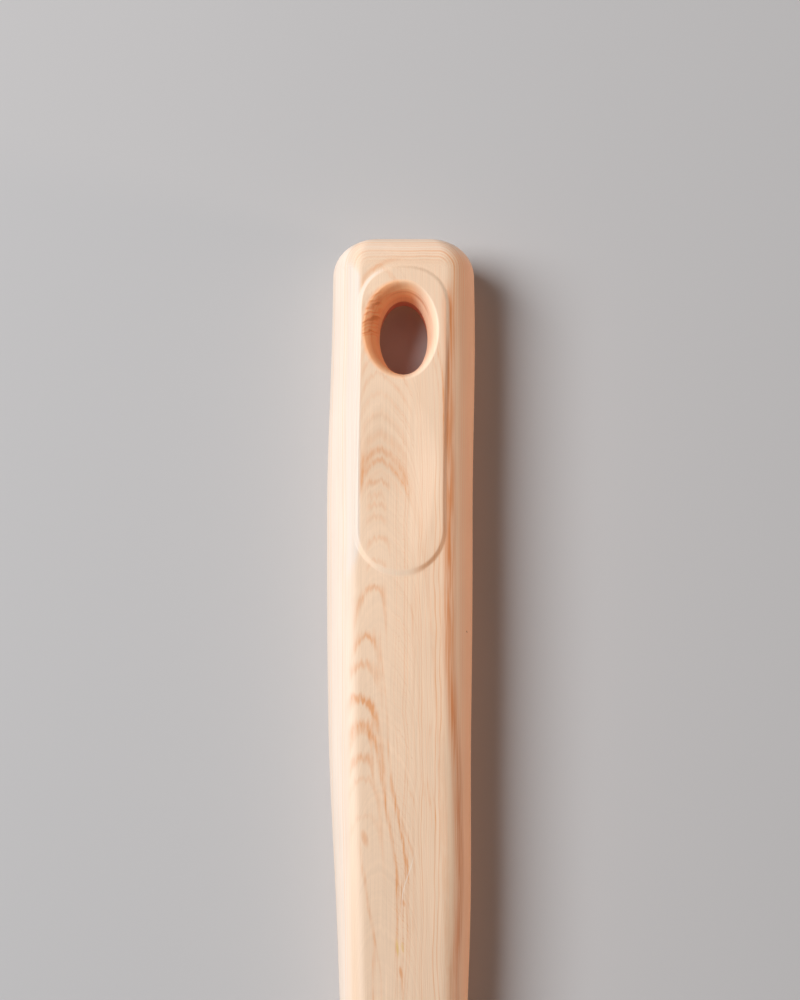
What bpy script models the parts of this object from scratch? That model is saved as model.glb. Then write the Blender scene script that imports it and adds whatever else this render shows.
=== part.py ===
# Silicone spatula with a moulded wood-look handle, lying on its flat underside.
# Metres, +Z up, +Y towards the hanging end, +X to the right when seen from above.
# A station is a distance from the hanging end, measured along the spatula.

import math

import bmesh
import bpy
from mathutils import Vector

MM = 0.001

# Overall
TOTAL_LENGTH = 312 * MM
FIT_GAP = 0.3 * MM  # between pieces that touch in the real object

# Handle, seen from above
HANDLE_LENGTH = 198 * MM
WIDEST_STATION = 47 * MM
WIDEST_HALF = 13.0 * MM
END_HALF_LOSS = 0.4 * MM  # from the widest station back to the hanging end
NECK_HALF_LOSS = 5.3 * MM  # from the widest station on to the mouth
SIDE_BOW = 0.7 * MM  # the left side bulges by this, and the right side is as much flatter
BOW_START = 12 * MM
BOW_FULL = 50 * MM
BOW_EASES = 86 * MM
BOW_ENDS = 126 * MM
END_CORNER_RADIUS = 6.2 * MM

# Handle, seen from the side
HANDLE_HEIGHT = 16.0 * MM
TOP_LINE_DROP = 2.7 * MM
END_EDGE_RADIUS = 4.5 * MM
NECK_RISE = 0.8 * MM
RISE_START = 130 * MM
RISE_FULL = 200 * MM
RISE_EASES = 215 * MM
RISE_ENDS = 300 * MM

# Handle cross-section at the widest station
CROWN_HALF = 7.35 * MM
SHOULDER_RADIUS = 4.2 * MM
SHOULDER_TURN = math.radians(48)
SHOULDER_STEPS = 3
SIDE_STEPS = 4

# Raised thumb pad and its dish
PAD_START = 6.15 * MM
PAD_END = 61.45 * MM
PAD_HALF = 7.85 * MM
PAD_BOW_SHARE = 0.92  # of the handle's bow, which the pad follows
PAD_HEIGHT = 0.5 * MM
PAD_EDGE = 0.2 * MM
DISH_STATION = 42.5 * MM
DISH_HALF_WIDTH = 6.6 * MM
DISH_HALF_LENGTH = 14 * MM
DISH_DEPTH = 0.6 * MM
DISH_BALL_HEIGHT = 4.0 * MM

# Hanging hole: an oval funnel, wider on the left, that meets a straight throat in a crease
HOLE_STATION = 17.6 * MM
THROAT_HALF_WIDTH = 4.3 * MM
THROAT_HALF_LENGTH = 6.9 * MM
THROAT_TOP = 8.6 * MM
FUNNEL_FLARE_LEFT = 2.8 * MM
FUNNEL_FLARE_RIGHT = 2.0 * MM
FUNNEL_FLARE_ALONG = 2.1 * MM
FUNNEL_LAST_TURN = math.radians(30)
BACK_FLARE_ACROSS = 2.4 * MM
BACK_FLARE_ALONG = 3.0 * MM
BACK_FLARE_HEIGHT = 6.4 * MM
HOLE_STEPS = 36

# Handle wall and the beam inside it
WALL = 2.0 * MM
CAVITY_START = 33 * MM
MOUTH_EDGE = 0.4 * MM
CORE_END = 188.4 * MM
POCKET_START = 39 * MM
POCKET_END = 134 * MM
POCKET_COUNT = 7
RIB_THICKNESS = 2.0 * MM
WEB_HALF = 1.1 * MM
POCKET_HEIGHT = 7.4 * MM

# Tang, spine and pins
TANG_START = 142 * MM
TANG_HALF_WIDTH = 3.6 * MM
TANG_HALF_HEIGHT = 1.8 * MM
SPINE_START = 144 * MM
SPINE_END = 226 * MM
SPINE_WIDTH = 4.6 * MM
SPINE_THICKNESS = 1.0 * MM
PIN_RADIUS = 1.2 * MM
PIN_LENGTH = 8.0 * MM
PIN_STATIONS = (152 * MM, 177 * MM)

# Collar that closes the handle's mouth, and its seal
SPIGOT_START = 189.0 * MM
COLLAR_START = 198.3 * MM
COLLAR_END = 201.7 * MM
COLLAR_EDGE = 0.45 * MM
GROOVE_START = 192.4 * MM
GROOVE_WIDTH = 1.7 * MM
GROOVE_DEPTH = 1.2 * MM
SEAL_RADIUS = 0.55 * MM

# Silicone head
HEAD_START = 202 * MM
HEAD_NECK_HALF = 7.3 * MM
HEAD_NECK_HEIGHT = 12.0 * MM
FLARE_START = 208 * MM
FLARE_END = 252 * MM
BLADE_HALF = 29.5 * MM
BLADE_TIP_LOSS = 1.8 * MM
SQUARE_CORNER_RADIUS = 8.5 * MM
ROUND_CORNER_RADIUS = 25 * MM
TIP_THICKNESS = 1.8 * MM
EDGE_THICKNESS = 1.6 * MM
WEDGE_POWER = 1.3

# Stiff core inside the head
CORE_FLARE_START = 212 * MM
CORE_FLARE_END = 246 * MM
CORE_TIP = 288 * MM
CORE_HALF = 17 * MM
CORE_TIP_LOSS = 2.5 * MM
CORE_CORNER_RADIUS = 9 * MM
CORE_NECK_HALF_HEIGHT = 2.2 * MM
CORE_TIP_HALF_HEIGHT = 0.8 * MM
WINDOW_RADIUS = 3.4 * MM
WINDOWS = ((0.0, 242 * MM), (-9.5 * MM, 252 * MM), (9.5 * MM, 252 * MM),
           (0.0, 260 * MM), (-8.5 * MM, 270 * MM), (8.5 * MM, 270 * MM), (0.0, 278 * MM))


def smooth(share):
    """Eases from 0 to 1 while share goes from 0 to 1."""
    share = min(1.0, max(0.0, share))
    return share * share * (3 - 2 * share)


def spread(low, high, count):
    """count values from low to high, evenly spaced."""
    return [low + (high - low) * i / (count - 1) for i in range(count)]


def y_of(station):
    return TOTAL_LENGTH / 2 - station


def corner_inset(distance, radius):
    """How far a round corner has drawn in, at that distance from the end."""
    if distance >= radius:
        return 0.0
    return radius - math.sqrt(max(0.0, radius**2 - (radius - distance) ** 2))


# Outlines of the handle

def handle_half_width(station):
    if station < WIDEST_STATION:
        loss = END_HALF_LOSS * ((WIDEST_STATION - station) / WIDEST_STATION) ** 2
    else:
        share = (station - WIDEST_STATION) / (HANDLE_LENGTH - WIDEST_STATION)
        loss = NECK_HALF_LOSS * share**2
    return WIDEST_HALF - loss - corner_inset(station, END_CORNER_RADIUS)


def side_bow(station):
    swell = smooth((station - BOW_START) / (BOW_FULL - BOW_START))
    ease = smooth((station - BOW_EASES) / (BOW_ENDS - BOW_EASES))
    return SIDE_BOW * (swell - ease)


def bottom_line(station):
    rise = smooth((station - RISE_START) / (RISE_FULL - RISE_START))
    ease = smooth((station - RISE_EASES) / (RISE_ENDS - RISE_EASES))
    return NECK_RISE * (rise - ease)


def top_line(station):
    share = max(0.0, station - WIDEST_STATION) / (HANDLE_LENGTH - WIDEST_STATION)
    return HANDLE_HEIGHT - TOP_LINE_DROP * share**2


def quarter_section():
    """Points from the crown's edge round to the side, on a section of half-size 1 by 1."""
    half_height = HANDLE_HEIGHT / 2
    sine, cosine = math.sin(SHOULDER_TURN), math.cos(SHOULDER_TURN)
    side_width = (WIDEST_HALF - CROWN_HALF - SHOULDER_RADIUS * sine) / (1 - sine)
    side_height = (half_height - SHOULDER_RADIUS * (1 - cosine)) / cosine
    points = []
    for turn in spread(0, SHOULDER_TURN, SHOULDER_STEPS + 1):
        points.append((CROWN_HALF + SHOULDER_RADIUS * math.sin(turn),
                       half_height - SHOULDER_RADIUS * (1 - math.cos(turn))))
    for turn in spread(SHOULDER_TURN, math.pi / 2, SIDE_STEPS + 1)[1:]:
        points.append((WIDEST_HALF - side_width * (1 - math.sin(turn)),
                       side_height * math.cos(turn)))
    return [(x / WIDEST_HALF, z / half_height) for x, z in points]


QUARTER = quarter_section()


def handle_ring(station, inset=0.0):
    """The handle's section at a station, drawn in all round by inset."""
    edge = corner_inset(station, END_EDGE_RADIUS) + inset
    low = bottom_line(station) + edge
    high = top_line(station) - edge
    half_width = handle_half_width(station) - inset
    middle, half_height = (low + high) / 2, (high - low) / 2
    right = [(x * (half_width - side_bow(station)), z) for x, z in QUARTER]
    left = [(-x * (half_width + side_bow(station)), z) for x, z in QUARTER]
    loop = right + [(x, -z) for x, z in reversed(right[:-1])]
    loop += [(x, -z) for x, z in left] + [(x, z) for x, z in reversed(left[:-1])]
    return [Vector((x, y_of(station), middle + z * half_height)) for x, z in loop]


# Outlines of the head

def head_half_width(station, corner_radius):
    flare = smooth((station - FLARE_START) / (FLARE_END - FLARE_START))
    tip = smooth((station - FLARE_END) / (TOTAL_LENGTH - FLARE_END))
    width = HEAD_NECK_HALF + (BLADE_HALF - HEAD_NECK_HALF) * flare - BLADE_TIP_LOSS * tip
    return width - corner_inset(TOTAL_LENGTH - station, corner_radius)


def head_height(station):
    share = max(0.0, station - HEAD_START) / (TOTAL_LENGTH - HEAD_START)
    return TIP_THICKNESS + (HEAD_NECK_HEIGHT - TIP_THICKNESS) * (1 - share**WEDGE_POWER)


def head_middle(station):
    return bottom_line(station) + head_height(station) / 2


def head_ring(station, steps=32):
    """An oval at the neck, turning into a lens with thin edges along the blade."""
    right = head_half_width(station, SQUARE_CORNER_RADIUS)
    left = head_half_width(station, ROUND_CORNER_RADIUS)
    lens = smooth((station - FLARE_START) / (FLARE_END - FLARE_START))
    power, fullness = 3 - lens, 0.5 + 0.5 * lens
    edge = EDGE_THICKNESS * lens
    height = head_height(station)
    tip = TOTAL_LENGTH - station
    rounding = 1 - 0.65 * corner_inset(tip, TIP_THICKNESS / 2) / (TIP_THICKNESS / 2)
    ring = []
    for i in range(steps):
        turn = 2 * math.pi * i / steps
        across = math.cos(turn)
        body = (height - edge) * (1 - min(1.0, abs(across)) ** power) ** fullness
        rim = edge * math.sqrt(1 - min(1.0, abs(across)) ** 12)
        half = (body + rim) / 2 * rounding
        side = 0.0 if i in (0, steps // 2) else math.copysign(half, math.sin(turn))
        x = (right - left) / 2 + (right + left) / 2 * across
        ring.append(Vector((x, y_of(station), head_middle(station) + side)))
    return ring


def head_stations():
    """Even steps along the neck and blade, then round both corners of the tip."""
    stations = set(spread(HEAD_START, TOTAL_LENGTH - ROUND_CORNER_RADIUS, 17))
    for radius, steps in ((ROUND_CORNER_RADIUS, 7), (SQUARE_CORNER_RADIUS, 5)):
        for turn in spread(0, math.pi / 2, steps):
            stations.add(TOTAL_LENGTH - radius * (1 - math.sin(turn)))
    stations.add(TOTAL_LENGTH - TIP_THICKNESS / 2)
    return sorted(stations)


def core_half_width(station):
    flare = smooth((station - CORE_FLARE_START) / (CORE_FLARE_END - CORE_FLARE_START))
    tip = smooth((station - CORE_FLARE_END) / (CORE_TIP - CORE_FLARE_END))
    width = TANG_HALF_WIDTH + (CORE_HALF - TANG_HALF_WIDTH) * flare - CORE_TIP_LOSS * tip
    return width - corner_inset(CORE_TIP - station, CORE_CORNER_RADIUS)


def tang_height():
    """Height of the tang's centre line, the middle of the handle's mouth."""
    return (bottom_line(HANDLE_LENGTH) + top_line(HANDLE_LENGTH)) / 2


def core_ring(station, grow=0.0, steps=24):
    """The tang's section, flattening into a plate that follows the blade's middle."""
    flare = smooth((station - CORE_FLARE_START) / (CORE_FLARE_END - CORE_FLARE_START))
    thin = smooth((station - SPINE_END) / (CORE_TIP - SPINE_END))
    neck = smooth((station - HEAD_START) / (CORE_FLARE_START - HEAD_START))
    half_height = TANG_HALF_HEIGHT + (CORE_NECK_HALF_HEIGHT - TANG_HALF_HEIGHT) * neck
    half_height += (CORE_TIP_HALF_HEIGHT - CORE_NECK_HALF_HEIGHT) * thin
    middle = tang_height() + (head_middle(station) - tang_height()) * flare
    half_width = core_half_width(station)
    ring = []
    for i in range(steps):
        turn = 2 * math.pi * (i + 0.5) / steps
        x = math.copysign(math.sqrt(abs(math.cos(turn))), math.cos(turn)) * (half_width + grow)
        z = math.copysign(math.sqrt(abs(math.sin(turn))), math.sin(turn)) * (half_height + grow)
        ring.append(Vector((x, y_of(station), middle + z)))
    return ring


# Modelling helpers

def collection(name):
    made = bpy.data.collections.new(name)
    bpy.context.scene.collection.children.link(made)
    return made


def clear_scene():
    for obj in list(bpy.data.objects):
        bpy.data.objects.remove(obj)


def material(name, colour, roughness, metallic=0.0):
    made = bpy.data.materials.new(name)
    made.use_nodes = True
    shader = made.node_tree.nodes["Principled BSDF"]
    shader.inputs["Base Color"].default_value = (*colour, 1)
    shader.inputs["Roughness"].default_value = roughness
    shader.inputs["Metallic"].default_value = metallic
    return made


def place(obj, group):
    for holder in list(obj.users_collection):
        holder.objects.unlink(obj)
    group.objects.link(obj)
    return obj


def helper(obj):
    """Keeps a cutter out of the model."""
    obj.hide_render = True
    obj.display_type = "WIRE"
    return place(obj, CUTTERS)


def shade(obj, angle=40):
    obj.data.shade_smooth()
    obj.data.set_sharp_from_angle(angle=math.radians(angle))
    return obj


def loft(name, rings):
    """A closed skin through rings of equal counts, with a face at each end."""
    mesh = bpy.data.meshes.new(name)
    shape = bmesh.new()
    loops = [[shape.verts.new(point) for point in ring] for ring in rings]
    count = len(rings[0])
    for near, far in zip(loops, loops[1:]):
        for i in range(count):
            j = (i + 1) % count
            shape.faces.new((near[i], near[j], far[j], far[i]))
    shape.faces.new(loops[0])
    shape.faces.new(loops[-1])
    bmesh.ops.recalc_face_normals(shape, faces=shape.faces)
    shape.to_mesh(mesh)
    shape.free()
    return bpy.data.objects.new(name, mesh)


def boxes(name, spans):
    """One object of separate boxes, each given by its low and high corner."""
    mesh = bpy.data.meshes.new(name)
    shape = bmesh.new()
    for low, high in spans:
        made = bmesh.ops.create_cube(shape, size=1)
        middle = [(a + b) / 2 for a, b in zip(low, high)]
        size = [b - a for a, b in zip(low, high)]
        bmesh.ops.scale(shape, vec=size, verts=made["verts"])
        bmesh.ops.translate(shape, vec=middle, verts=made["verts"])
    shape.to_mesh(mesh)
    shape.free()
    return bpy.data.objects.new(name, mesh)


def cylinders(name, radius, places, low, high, steps=20):
    """One object of upright round bars at the places given, from low to high."""
    mesh = bpy.data.meshes.new(name)
    shape = bmesh.new()
    for x, y in places:
        made = bmesh.ops.create_cone(
            shape, cap_ends=True, segments=steps, radius1=radius, radius2=radius, depth=high - low)
        bmesh.ops.translate(shape, vec=(x, y, (low + high) / 2), verts=made["verts"])
    shape.to_mesh(mesh)
    shape.free()
    return bpy.data.objects.new(name, mesh)


def apply_boolean(obj, other, operation):
    modifier = obj.modifiers.new(operation.lower(), "BOOLEAN")
    modifier.operation = operation
    modifier.solver = "EXACT"
    modifier.object = other


def as_mesh(curve_object):
    """Turns a curve object into a closed mesh object of the same name and place."""
    bpy.context.view_layer.update()
    graph = bpy.context.evaluated_depsgraph_get()
    mesh = bpy.data.meshes.new_from_object(curve_object.evaluated_get(graph))
    shape = bmesh.new()
    shape.from_mesh(mesh)
    bmesh.ops.remove_doubles(shape, verts=shape.verts, dist=0.00001)
    bmesh.ops.recalc_face_normals(shape, faces=shape.faces)
    shape.to_mesh(mesh)
    shape.free()
    name = curve_object.name
    placed = curve_object.matrix_world.copy()
    bpy.data.objects.remove(curve_object)
    obj = bpy.data.objects.new(name, mesh)
    obj.matrix_world = placed
    return obj


# Handle

def thumb_pad():
    """The raised pad: round ends and sides that follow the handle's bow, with its upper edge eased."""
    rear, front = PAD_START + PAD_HALF, PAD_END - PAD_HALF
    run = spread(rear, front, 8)[1:-1]
    spine = [(rear, turn) for turn in spread(0, math.pi, 13)]
    spine += [(station, math.pi) for station in run]
    spine += [(front, turn) for turn in spread(math.pi, 2 * math.pi, 13)]
    spine += [(station, 0.0) for station in reversed(run)]
    outline = [(PAD_HALF * math.cos(turn) - PAD_BOW_SHARE * side_bow(station),
                y_of(station) + PAD_HALF * math.sin(turn)) for station, turn in spine]
    curve = bpy.data.curves.new("thumb_pad", "CURVE")
    curve.dimensions = "2D"
    curve.fill_mode = "BOTH"
    curve.extrude = (WALL + PAD_HEIGHT) / 2 - PAD_EDGE
    curve.bevel_depth = PAD_EDGE
    curve.bevel_resolution = 0
    curve.offset = -PAD_EDGE
    spline = curve.splines.new("POLY")
    spline.points.add(len(outline) - 1)
    for point, (x, y) in zip(spline.points, outline):
        point.co = (x, y, 0, 1)
    spline.use_cyclic_u = True
    pad = place(bpy.data.objects.new("thumb_pad", curve), CUTTERS)
    pad.location.z = HANDLE_HEIGHT + PAD_HEIGHT - (WALL + PAD_HEIGHT) / 2
    return helper(as_mesh(pad))


def thumb_dish():
    """A flat ball that sinks into the pad by the dish's depth."""
    reach = math.sqrt(1 - (1 - DISH_DEPTH / DISH_BALL_HEIGHT) ** 2)
    height = HANDLE_HEIGHT + PAD_HEIGHT + DISH_BALL_HEIGHT - DISH_DEPTH
    centre = (-PAD_BOW_SHARE * side_bow(DISH_STATION), y_of(DISH_STATION), height)
    mesh = bpy.data.meshes.new("thumb_dish")
    shape = bmesh.new()
    bmesh.ops.create_uvsphere(shape, u_segments=32, v_segments=20, radius=1)
    size = (DISH_HALF_WIDTH / reach, DISH_HALF_LENGTH / reach, DISH_BALL_HEIGHT)
    bmesh.ops.scale(shape, vec=size, verts=shape.verts)
    bmesh.ops.translate(shape, vec=centre, verts=shape.verts)
    shape.to_mesh(mesh)
    shape.free()
    return helper(bpy.data.objects.new("thumb_dish", mesh))


def hole_ring(height, left, right, along):
    """The throat's oval, made wider to the left and right and longer by the flares given."""
    ring = []
    for i in range(HOLE_STEPS):
        turn = 2 * math.pi * i / HOLE_STEPS
        across = right if math.cos(turn) > 0 else left
        ring.append(Vector(((THROAT_HALF_WIDTH + across) * math.cos(turn),
                            y_of(HOLE_STATION) + (THROAT_HALF_LENGTH + along) * math.sin(turn),
                            height)))
    return ring


def hanging_hole():
    """The funnel's arc runs down to the crease, and the back mouth flares out in a quarter round."""
    top, over = HANDLE_HEIGHT + PAD_HEIGHT, 1.0 * MM
    last = math.sin(FUNNEL_LAST_TURN)
    rings = [hole_ring(top + over, FUNNEL_FLARE_LEFT, FUNNEL_FLARE_RIGHT, FUNNEL_FLARE_ALONG)]
    for turn in spread(math.pi / 2, FUNNEL_LAST_TURN, 7):
        share = 1 - math.cos(turn) / math.cos(FUNNEL_LAST_TURN)
        height = THROAT_TOP + (top - THROAT_TOP) * (math.sin(turn) - last) / (1 - last)
        rings.append(hole_ring(height, FUNNEL_FLARE_LEFT * share, FUNNEL_FLARE_RIGHT * share,
                               FUNNEL_FLARE_ALONG * share))
    for turn in spread(0, math.pi / 2, 6):
        across, along = (flare * (1 - math.cos(turn)) for flare in (BACK_FLARE_ACROSS, BACK_FLARE_ALONG))
        rings.append(hole_ring(BACK_FLARE_HEIGHT * (1 - math.sin(turn)), across, across, along))
    rings.append(hole_ring(-over, BACK_FLARE_ACROSS, BACK_FLARE_ACROSS, BACK_FLARE_ALONG))
    return helper(loft("hanging_hole", rings))


def handle_shell():
    arc = [END_CORNER_RADIUS * (1 - math.cos(turn)) for turn in spread(0, math.pi / 2, 6)]
    run = spread(END_CORNER_RADIUS, HANDLE_LENGTH - MOUTH_EDGE, 20)[1:]
    rings = [handle_ring(station) for station in arc + run]
    rings.append(handle_ring(HANDLE_LENGTH, MOUTH_EDGE))
    shell = place(loft("handle_shell", rings), SPATULA)
    reach = HANDLE_LENGTH + 2 * MM
    cavity = [handle_ring(station, WALL) for station in spread(CAVITY_START, reach, 12)]
    apply_boolean(shell, thumb_pad(), "UNION")
    apply_boolean(shell, thumb_dish(), "DIFFERENCE")
    apply_boolean(shell, helper(loft("handle_cavity", cavity)), "DIFFERENCE")
    apply_boolean(shell, hanging_hole(), "DIFFERENCE")
    shell.data.materials.append(WOOD_LOOK)
    return shade(shell)


def pocket_spans():
    """Low and high corners of the hollows either side of the beam's web."""
    pitch = (POCKET_END - POCKET_START) / POCKET_COUNT
    middle = HANDLE_HEIGHT / 2
    spans = []
    for i in range(POCKET_COUNT):
        near = POCKET_START + pitch * i
        far = near + pitch - RIB_THICKNESS
        for side in (-1, 1):
            xs = sorted((side * WEB_HALF, side * 2 * WIDEST_HALF))
            spans.append(((xs[0], y_of(far), middle - POCKET_HEIGHT / 2),
                          (xs[1], y_of(near), middle + POCKET_HEIGHT / 2)))
    return spans


def pin_holes(name, radius):
    places = [(0, y_of(station)) for station in PIN_STATIONS]
    return helper(cylinders(name, radius, places, -MM, HANDLE_HEIGHT + MM))


def handle_core():
    inset = WALL + FIT_GAP
    rings = [handle_ring(s, inset) for s in spread(CAVITY_START + 2 * FIT_GAP, CORE_END, 9)]
    beam = place(loft("handle_core", rings), SPATULA)
    half_width, half_height = TANG_HALF_WIDTH + FIT_GAP, TANG_HALF_HEIGHT + FIT_GAP
    socket = boxes("tang_socket", [(
        (-half_width, y_of(CORE_END + MM), tang_height() - half_height),
        (half_width, y_of(TANG_START - FIT_GAP), tang_height() + half_height))])
    apply_boolean(beam, helper(boxes("beam_pockets", pocket_spans())), "DIFFERENCE")
    apply_boolean(beam, helper(socket), "DIFFERENCE")
    apply_boolean(beam, pin_holes("beam_pin_holes", PIN_RADIUS + FIT_GAP), "DIFFERENCE")
    beam.data.materials.append(CORE_NYLON)
    return shade(beam)


def tang_pins():
    for number, station in enumerate(PIN_STATIONS, 1):
        name = f"tang_pin_{number}"
        middle = tang_height()
        low, high = middle - PIN_LENGTH / 2, middle + PIN_LENGTH / 2
        pin = cylinders(name, PIN_RADIUS, [(0, 0)], low - middle, high - middle)
        pin.location = (0, y_of(station), middle)
        pin.data.materials.append(STEEL)
        shade(place(pin, SPATULA))


# Joint between handle and head

def neck_collar():
    """A flange between handle and head, with a spigot that enters the handle."""
    inset = WALL + FIT_GAP
    groove = inset + GROOVE_DEPTH
    steps = (
        (SPIGOT_START, inset), (GROOVE_START, inset), (GROOVE_START, groove),
        (GROOVE_START + GROOVE_WIDTH, groove), (GROOVE_START + GROOVE_WIDTH, inset),
        (COLLAR_START, inset), (COLLAR_START, COLLAR_EDGE), (COLLAR_START + COLLAR_EDGE, 0),
        (COLLAR_END - COLLAR_EDGE, 0), (COLLAR_END, COLLAR_EDGE))
    collar = place(loft("neck_collar", [handle_ring(*step) for step in steps]), SPATULA)
    half_width, half_height = TANG_HALF_WIDTH + FIT_GAP, TANG_HALF_HEIGHT + FIT_GAP
    passage = boxes("tang_passage", [(
        (-half_width, y_of(COLLAR_END + MM), tang_height() - half_height),
        (half_width, y_of(SPIGOT_START - MM), tang_height() + half_height))])
    apply_boolean(collar, helper(passage), "DIFFERENCE")
    collar.data.materials.append(COLLAR_PLASTIC)
    return shade(collar)


def collar_seal():
    """A ring of round section, lying in the collar's groove."""
    station = GROOVE_START + GROOVE_WIDTH / 2
    depth = WALL + FIT_GAP + GROOVE_DEPTH - FIT_GAP * 2 / 3 - SEAL_RADIUS
    curve = bpy.data.curves.new("collar_seal", "CURVE")
    curve.dimensions = "3D"
    curve.bevel_depth = SEAL_RADIUS
    curve.bevel_resolution = 1
    loop = handle_ring(station, depth)
    spline = curve.splines.new("POLY")
    spline.points.add(len(loop) - 1)
    for point, place_on_loop in zip(spline.points, loop):
        point.co = (*place_on_loop, 1)
    spline.use_cyclic_u = True
    curve.materials.append(SEAL_RUBBER)
    return place(bpy.data.objects.new("collar_seal", curve), SPATULA)


# Head

def core_windows(name, radius):
    places = [(x, y_of(station)) for x, station in WINDOWS]
    return helper(cylinders(name, radius, places, -2 * MM, HEAD_NECK_HEIGHT, steps=16))


def core_stations(start, tip):
    corner = [tip - CORE_CORNER_RADIUS * (1 - math.sin(turn)) for turn in spread(0, math.pi / 2, 5)]
    return [start, HEAD_START] + spread(CORE_FLARE_START, corner[0], 10)[:-1] + corner


def blade_core():
    rings = [core_ring(station) for station in core_stations(TANG_START, CORE_TIP)]
    core = place(loft("blade_core", rings), SPATULA)
    half_width, half_height = SPINE_WIDTH / 2 + FIT_GAP, SPINE_THICKNESS / 2 + FIT_GAP
    slot = boxes("spine_slot", [(
        (-half_width, y_of(SPINE_END + FIT_GAP), tang_height() - half_height),
        (half_width, y_of(TANG_START - MM), tang_height() + half_height))])
    apply_boolean(core, core_windows("core_windows", WINDOW_RADIUS), "DIFFERENCE")
    apply_boolean(core, helper(slot), "DIFFERENCE")
    apply_boolean(core, pin_holes("tang_pin_holes", PIN_RADIUS + FIT_GAP), "DIFFERENCE")
    core.data.materials.append(CORE_NYLON)
    return shade(core)


def neck_spine():
    """A flat stainless bar that carries bending across the neck."""
    spine = place(boxes("neck_spine", [(
        (-SPINE_WIDTH / 2, y_of(SPINE_END), tang_height() - SPINE_THICKNESS / 2),
        (SPINE_WIDTH / 2, y_of(SPINE_START), tang_height() + SPINE_THICKNESS / 2))]), SPATULA)
    apply_boolean(spine, pin_holes("spine_pin_holes", PIN_RADIUS + FIT_GAP), "DIFFERENCE")
    spine.data.materials.append(STEEL)
    return spine


def silicone_head():
    head = place(loft("silicone_head", [head_ring(s) for s in head_stations()]), SPATULA)
    stations = core_stations(HEAD_START - MM, CORE_TIP)
    stations.remove(HEAD_START)
    rings = [core_ring(station, FIT_GAP) for station in stations]
    rings.append([point + Vector((0, -FIT_GAP, 0)) for point in core_ring(CORE_TIP)])
    space = helper(loft("core_space", rings))
    apply_boolean(space, core_windows("silicone_pillars", WINDOW_RADIUS - FIT_GAP), "DIFFERENCE")
    apply_boolean(head, space, "DIFFERENCE")
    head.data.materials.append(SILICONE)
    return shade(head)


clear_scene()
SPATULA = collection("silicone_spatula")
CUTTERS = collection("cutters")
WOOD_LOOK = material("wood_look_plastic", (0.80, 0.56, 0.37), 0.45)
CORE_NYLON = material("core_nylon", (0.78, 0.76, 0.70), 0.55)
STEEL = material("stainless_steel", (0.62, 0.62, 0.63), 0.3, 1.0)
COLLAR_PLASTIC = material("collar_plastic", (0.62, 0.58, 0.52), 0.5)
SEAL_RUBBER = material("seal_rubber", (0.55, 0.53, 0.50), 0.7)
SILICONE = material("silicone", (0.66, 0.62, 0.55), 0.6)

handle_shell()
handle_core()
tang_pins()
neck_collar()
collar_seal()
blade_core()
neck_spine()
silicone_head()
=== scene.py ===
# Silicone spatula with a moulded wood-look handle: the finished surfaces, lights and camera.
# Lengths are in millimetres and become metres where a mesh is made.
# A station is a distance from the hanging end; +X is to the right, seen from above.

import bpy
import numpy as np
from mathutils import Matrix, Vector


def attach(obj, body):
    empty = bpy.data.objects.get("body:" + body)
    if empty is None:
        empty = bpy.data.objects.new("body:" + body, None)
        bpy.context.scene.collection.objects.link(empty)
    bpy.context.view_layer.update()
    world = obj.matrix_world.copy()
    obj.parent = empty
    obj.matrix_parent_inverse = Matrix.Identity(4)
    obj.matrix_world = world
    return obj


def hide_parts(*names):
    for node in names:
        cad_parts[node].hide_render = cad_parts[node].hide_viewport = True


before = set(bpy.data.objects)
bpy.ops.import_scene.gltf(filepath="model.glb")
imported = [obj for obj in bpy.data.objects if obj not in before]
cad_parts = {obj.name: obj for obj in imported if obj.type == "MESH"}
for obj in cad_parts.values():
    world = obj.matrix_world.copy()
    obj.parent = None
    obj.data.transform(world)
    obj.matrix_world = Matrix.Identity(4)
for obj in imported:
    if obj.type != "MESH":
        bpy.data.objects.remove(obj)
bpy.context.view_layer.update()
print("frame loaded")

metre = 0.001
totalLength = 312.0
halfTurn = np.pi
quarterTurn = np.pi / 2


# Curves that several pieces share

def smooth(share):
    # 3t^2 - 2t^3, with t held between 0 and 1
    share = np.clip(share, 0.0, 1.0)
    return share * share * (3 - 2 * share)


def between(value, low, high):
    # eases from 0 at low to 1 at high
    return smooth((value - low) / (high - low))


def cornerInset(distance, radius):
    # r - sqrt(r^2 - (r - d)^2) for a round corner, and nothing once d is past r
    inside = np.clip(radius - distance, 0.0, radius)
    return radius - np.sqrt(radius**2 - inside**2)


def signedPower(value, power):
    # the size raised to a power, with the sign kept
    return np.sign(value) * np.abs(value)**power


def evenShares(steps):
    # even shares of a way, without its start
    return np.linspace(0, 1, steps + 1)[1:]


def framePoints(x, station, z):
    # points of the frame, with +Y towards the hanging end
    return np.stack(np.broadcast_arrays(x, totalLength / 2 - station, z), axis=-1)


# Meshes from grids of vertex numbers

def wrapQuads(rows):
    # each face takes two neighbours of one ring and the same two of the next; rings close on themselves
    beside = np.roll(rows, -1, axis=1)
    return np.stack([rows[:-1], beside[:-1], beside[1:], rows[1:]], axis=-1)


def sheetQuads(rows):
    # as wrapQuads, for rows that don't close
    return np.stack([rows[:-1, :-1], rows[:-1, 1:], rows[1:, 1:], rows[1:, :-1]], axis=-1)


def closeRing(ring, points, first, steps):
    # a sheet between the two halves of a ring: rows of new points at even shares of the way from one half
    # to the other
    half = len(ring) // 2
    upper, lower = ring[:half + 1], ring[(len(ring) - np.arange(half + 1)) % len(ring)]
    share = evenShares(steps)[:-1, None, None]
    inside = points[upper] + (points[lower] - points[upper]) * share
    numbers = first + np.arange(inside.shape[0] * (half + 1)).reshape(-1, half + 1)
    numbers[:, 0], numbers[:, -1] = upper[0], upper[-1]
    return sheetQuads(np.vstack([upper, numbers, lower])).reshape(-1, 4), inside.reshape(-1, 3)


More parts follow.
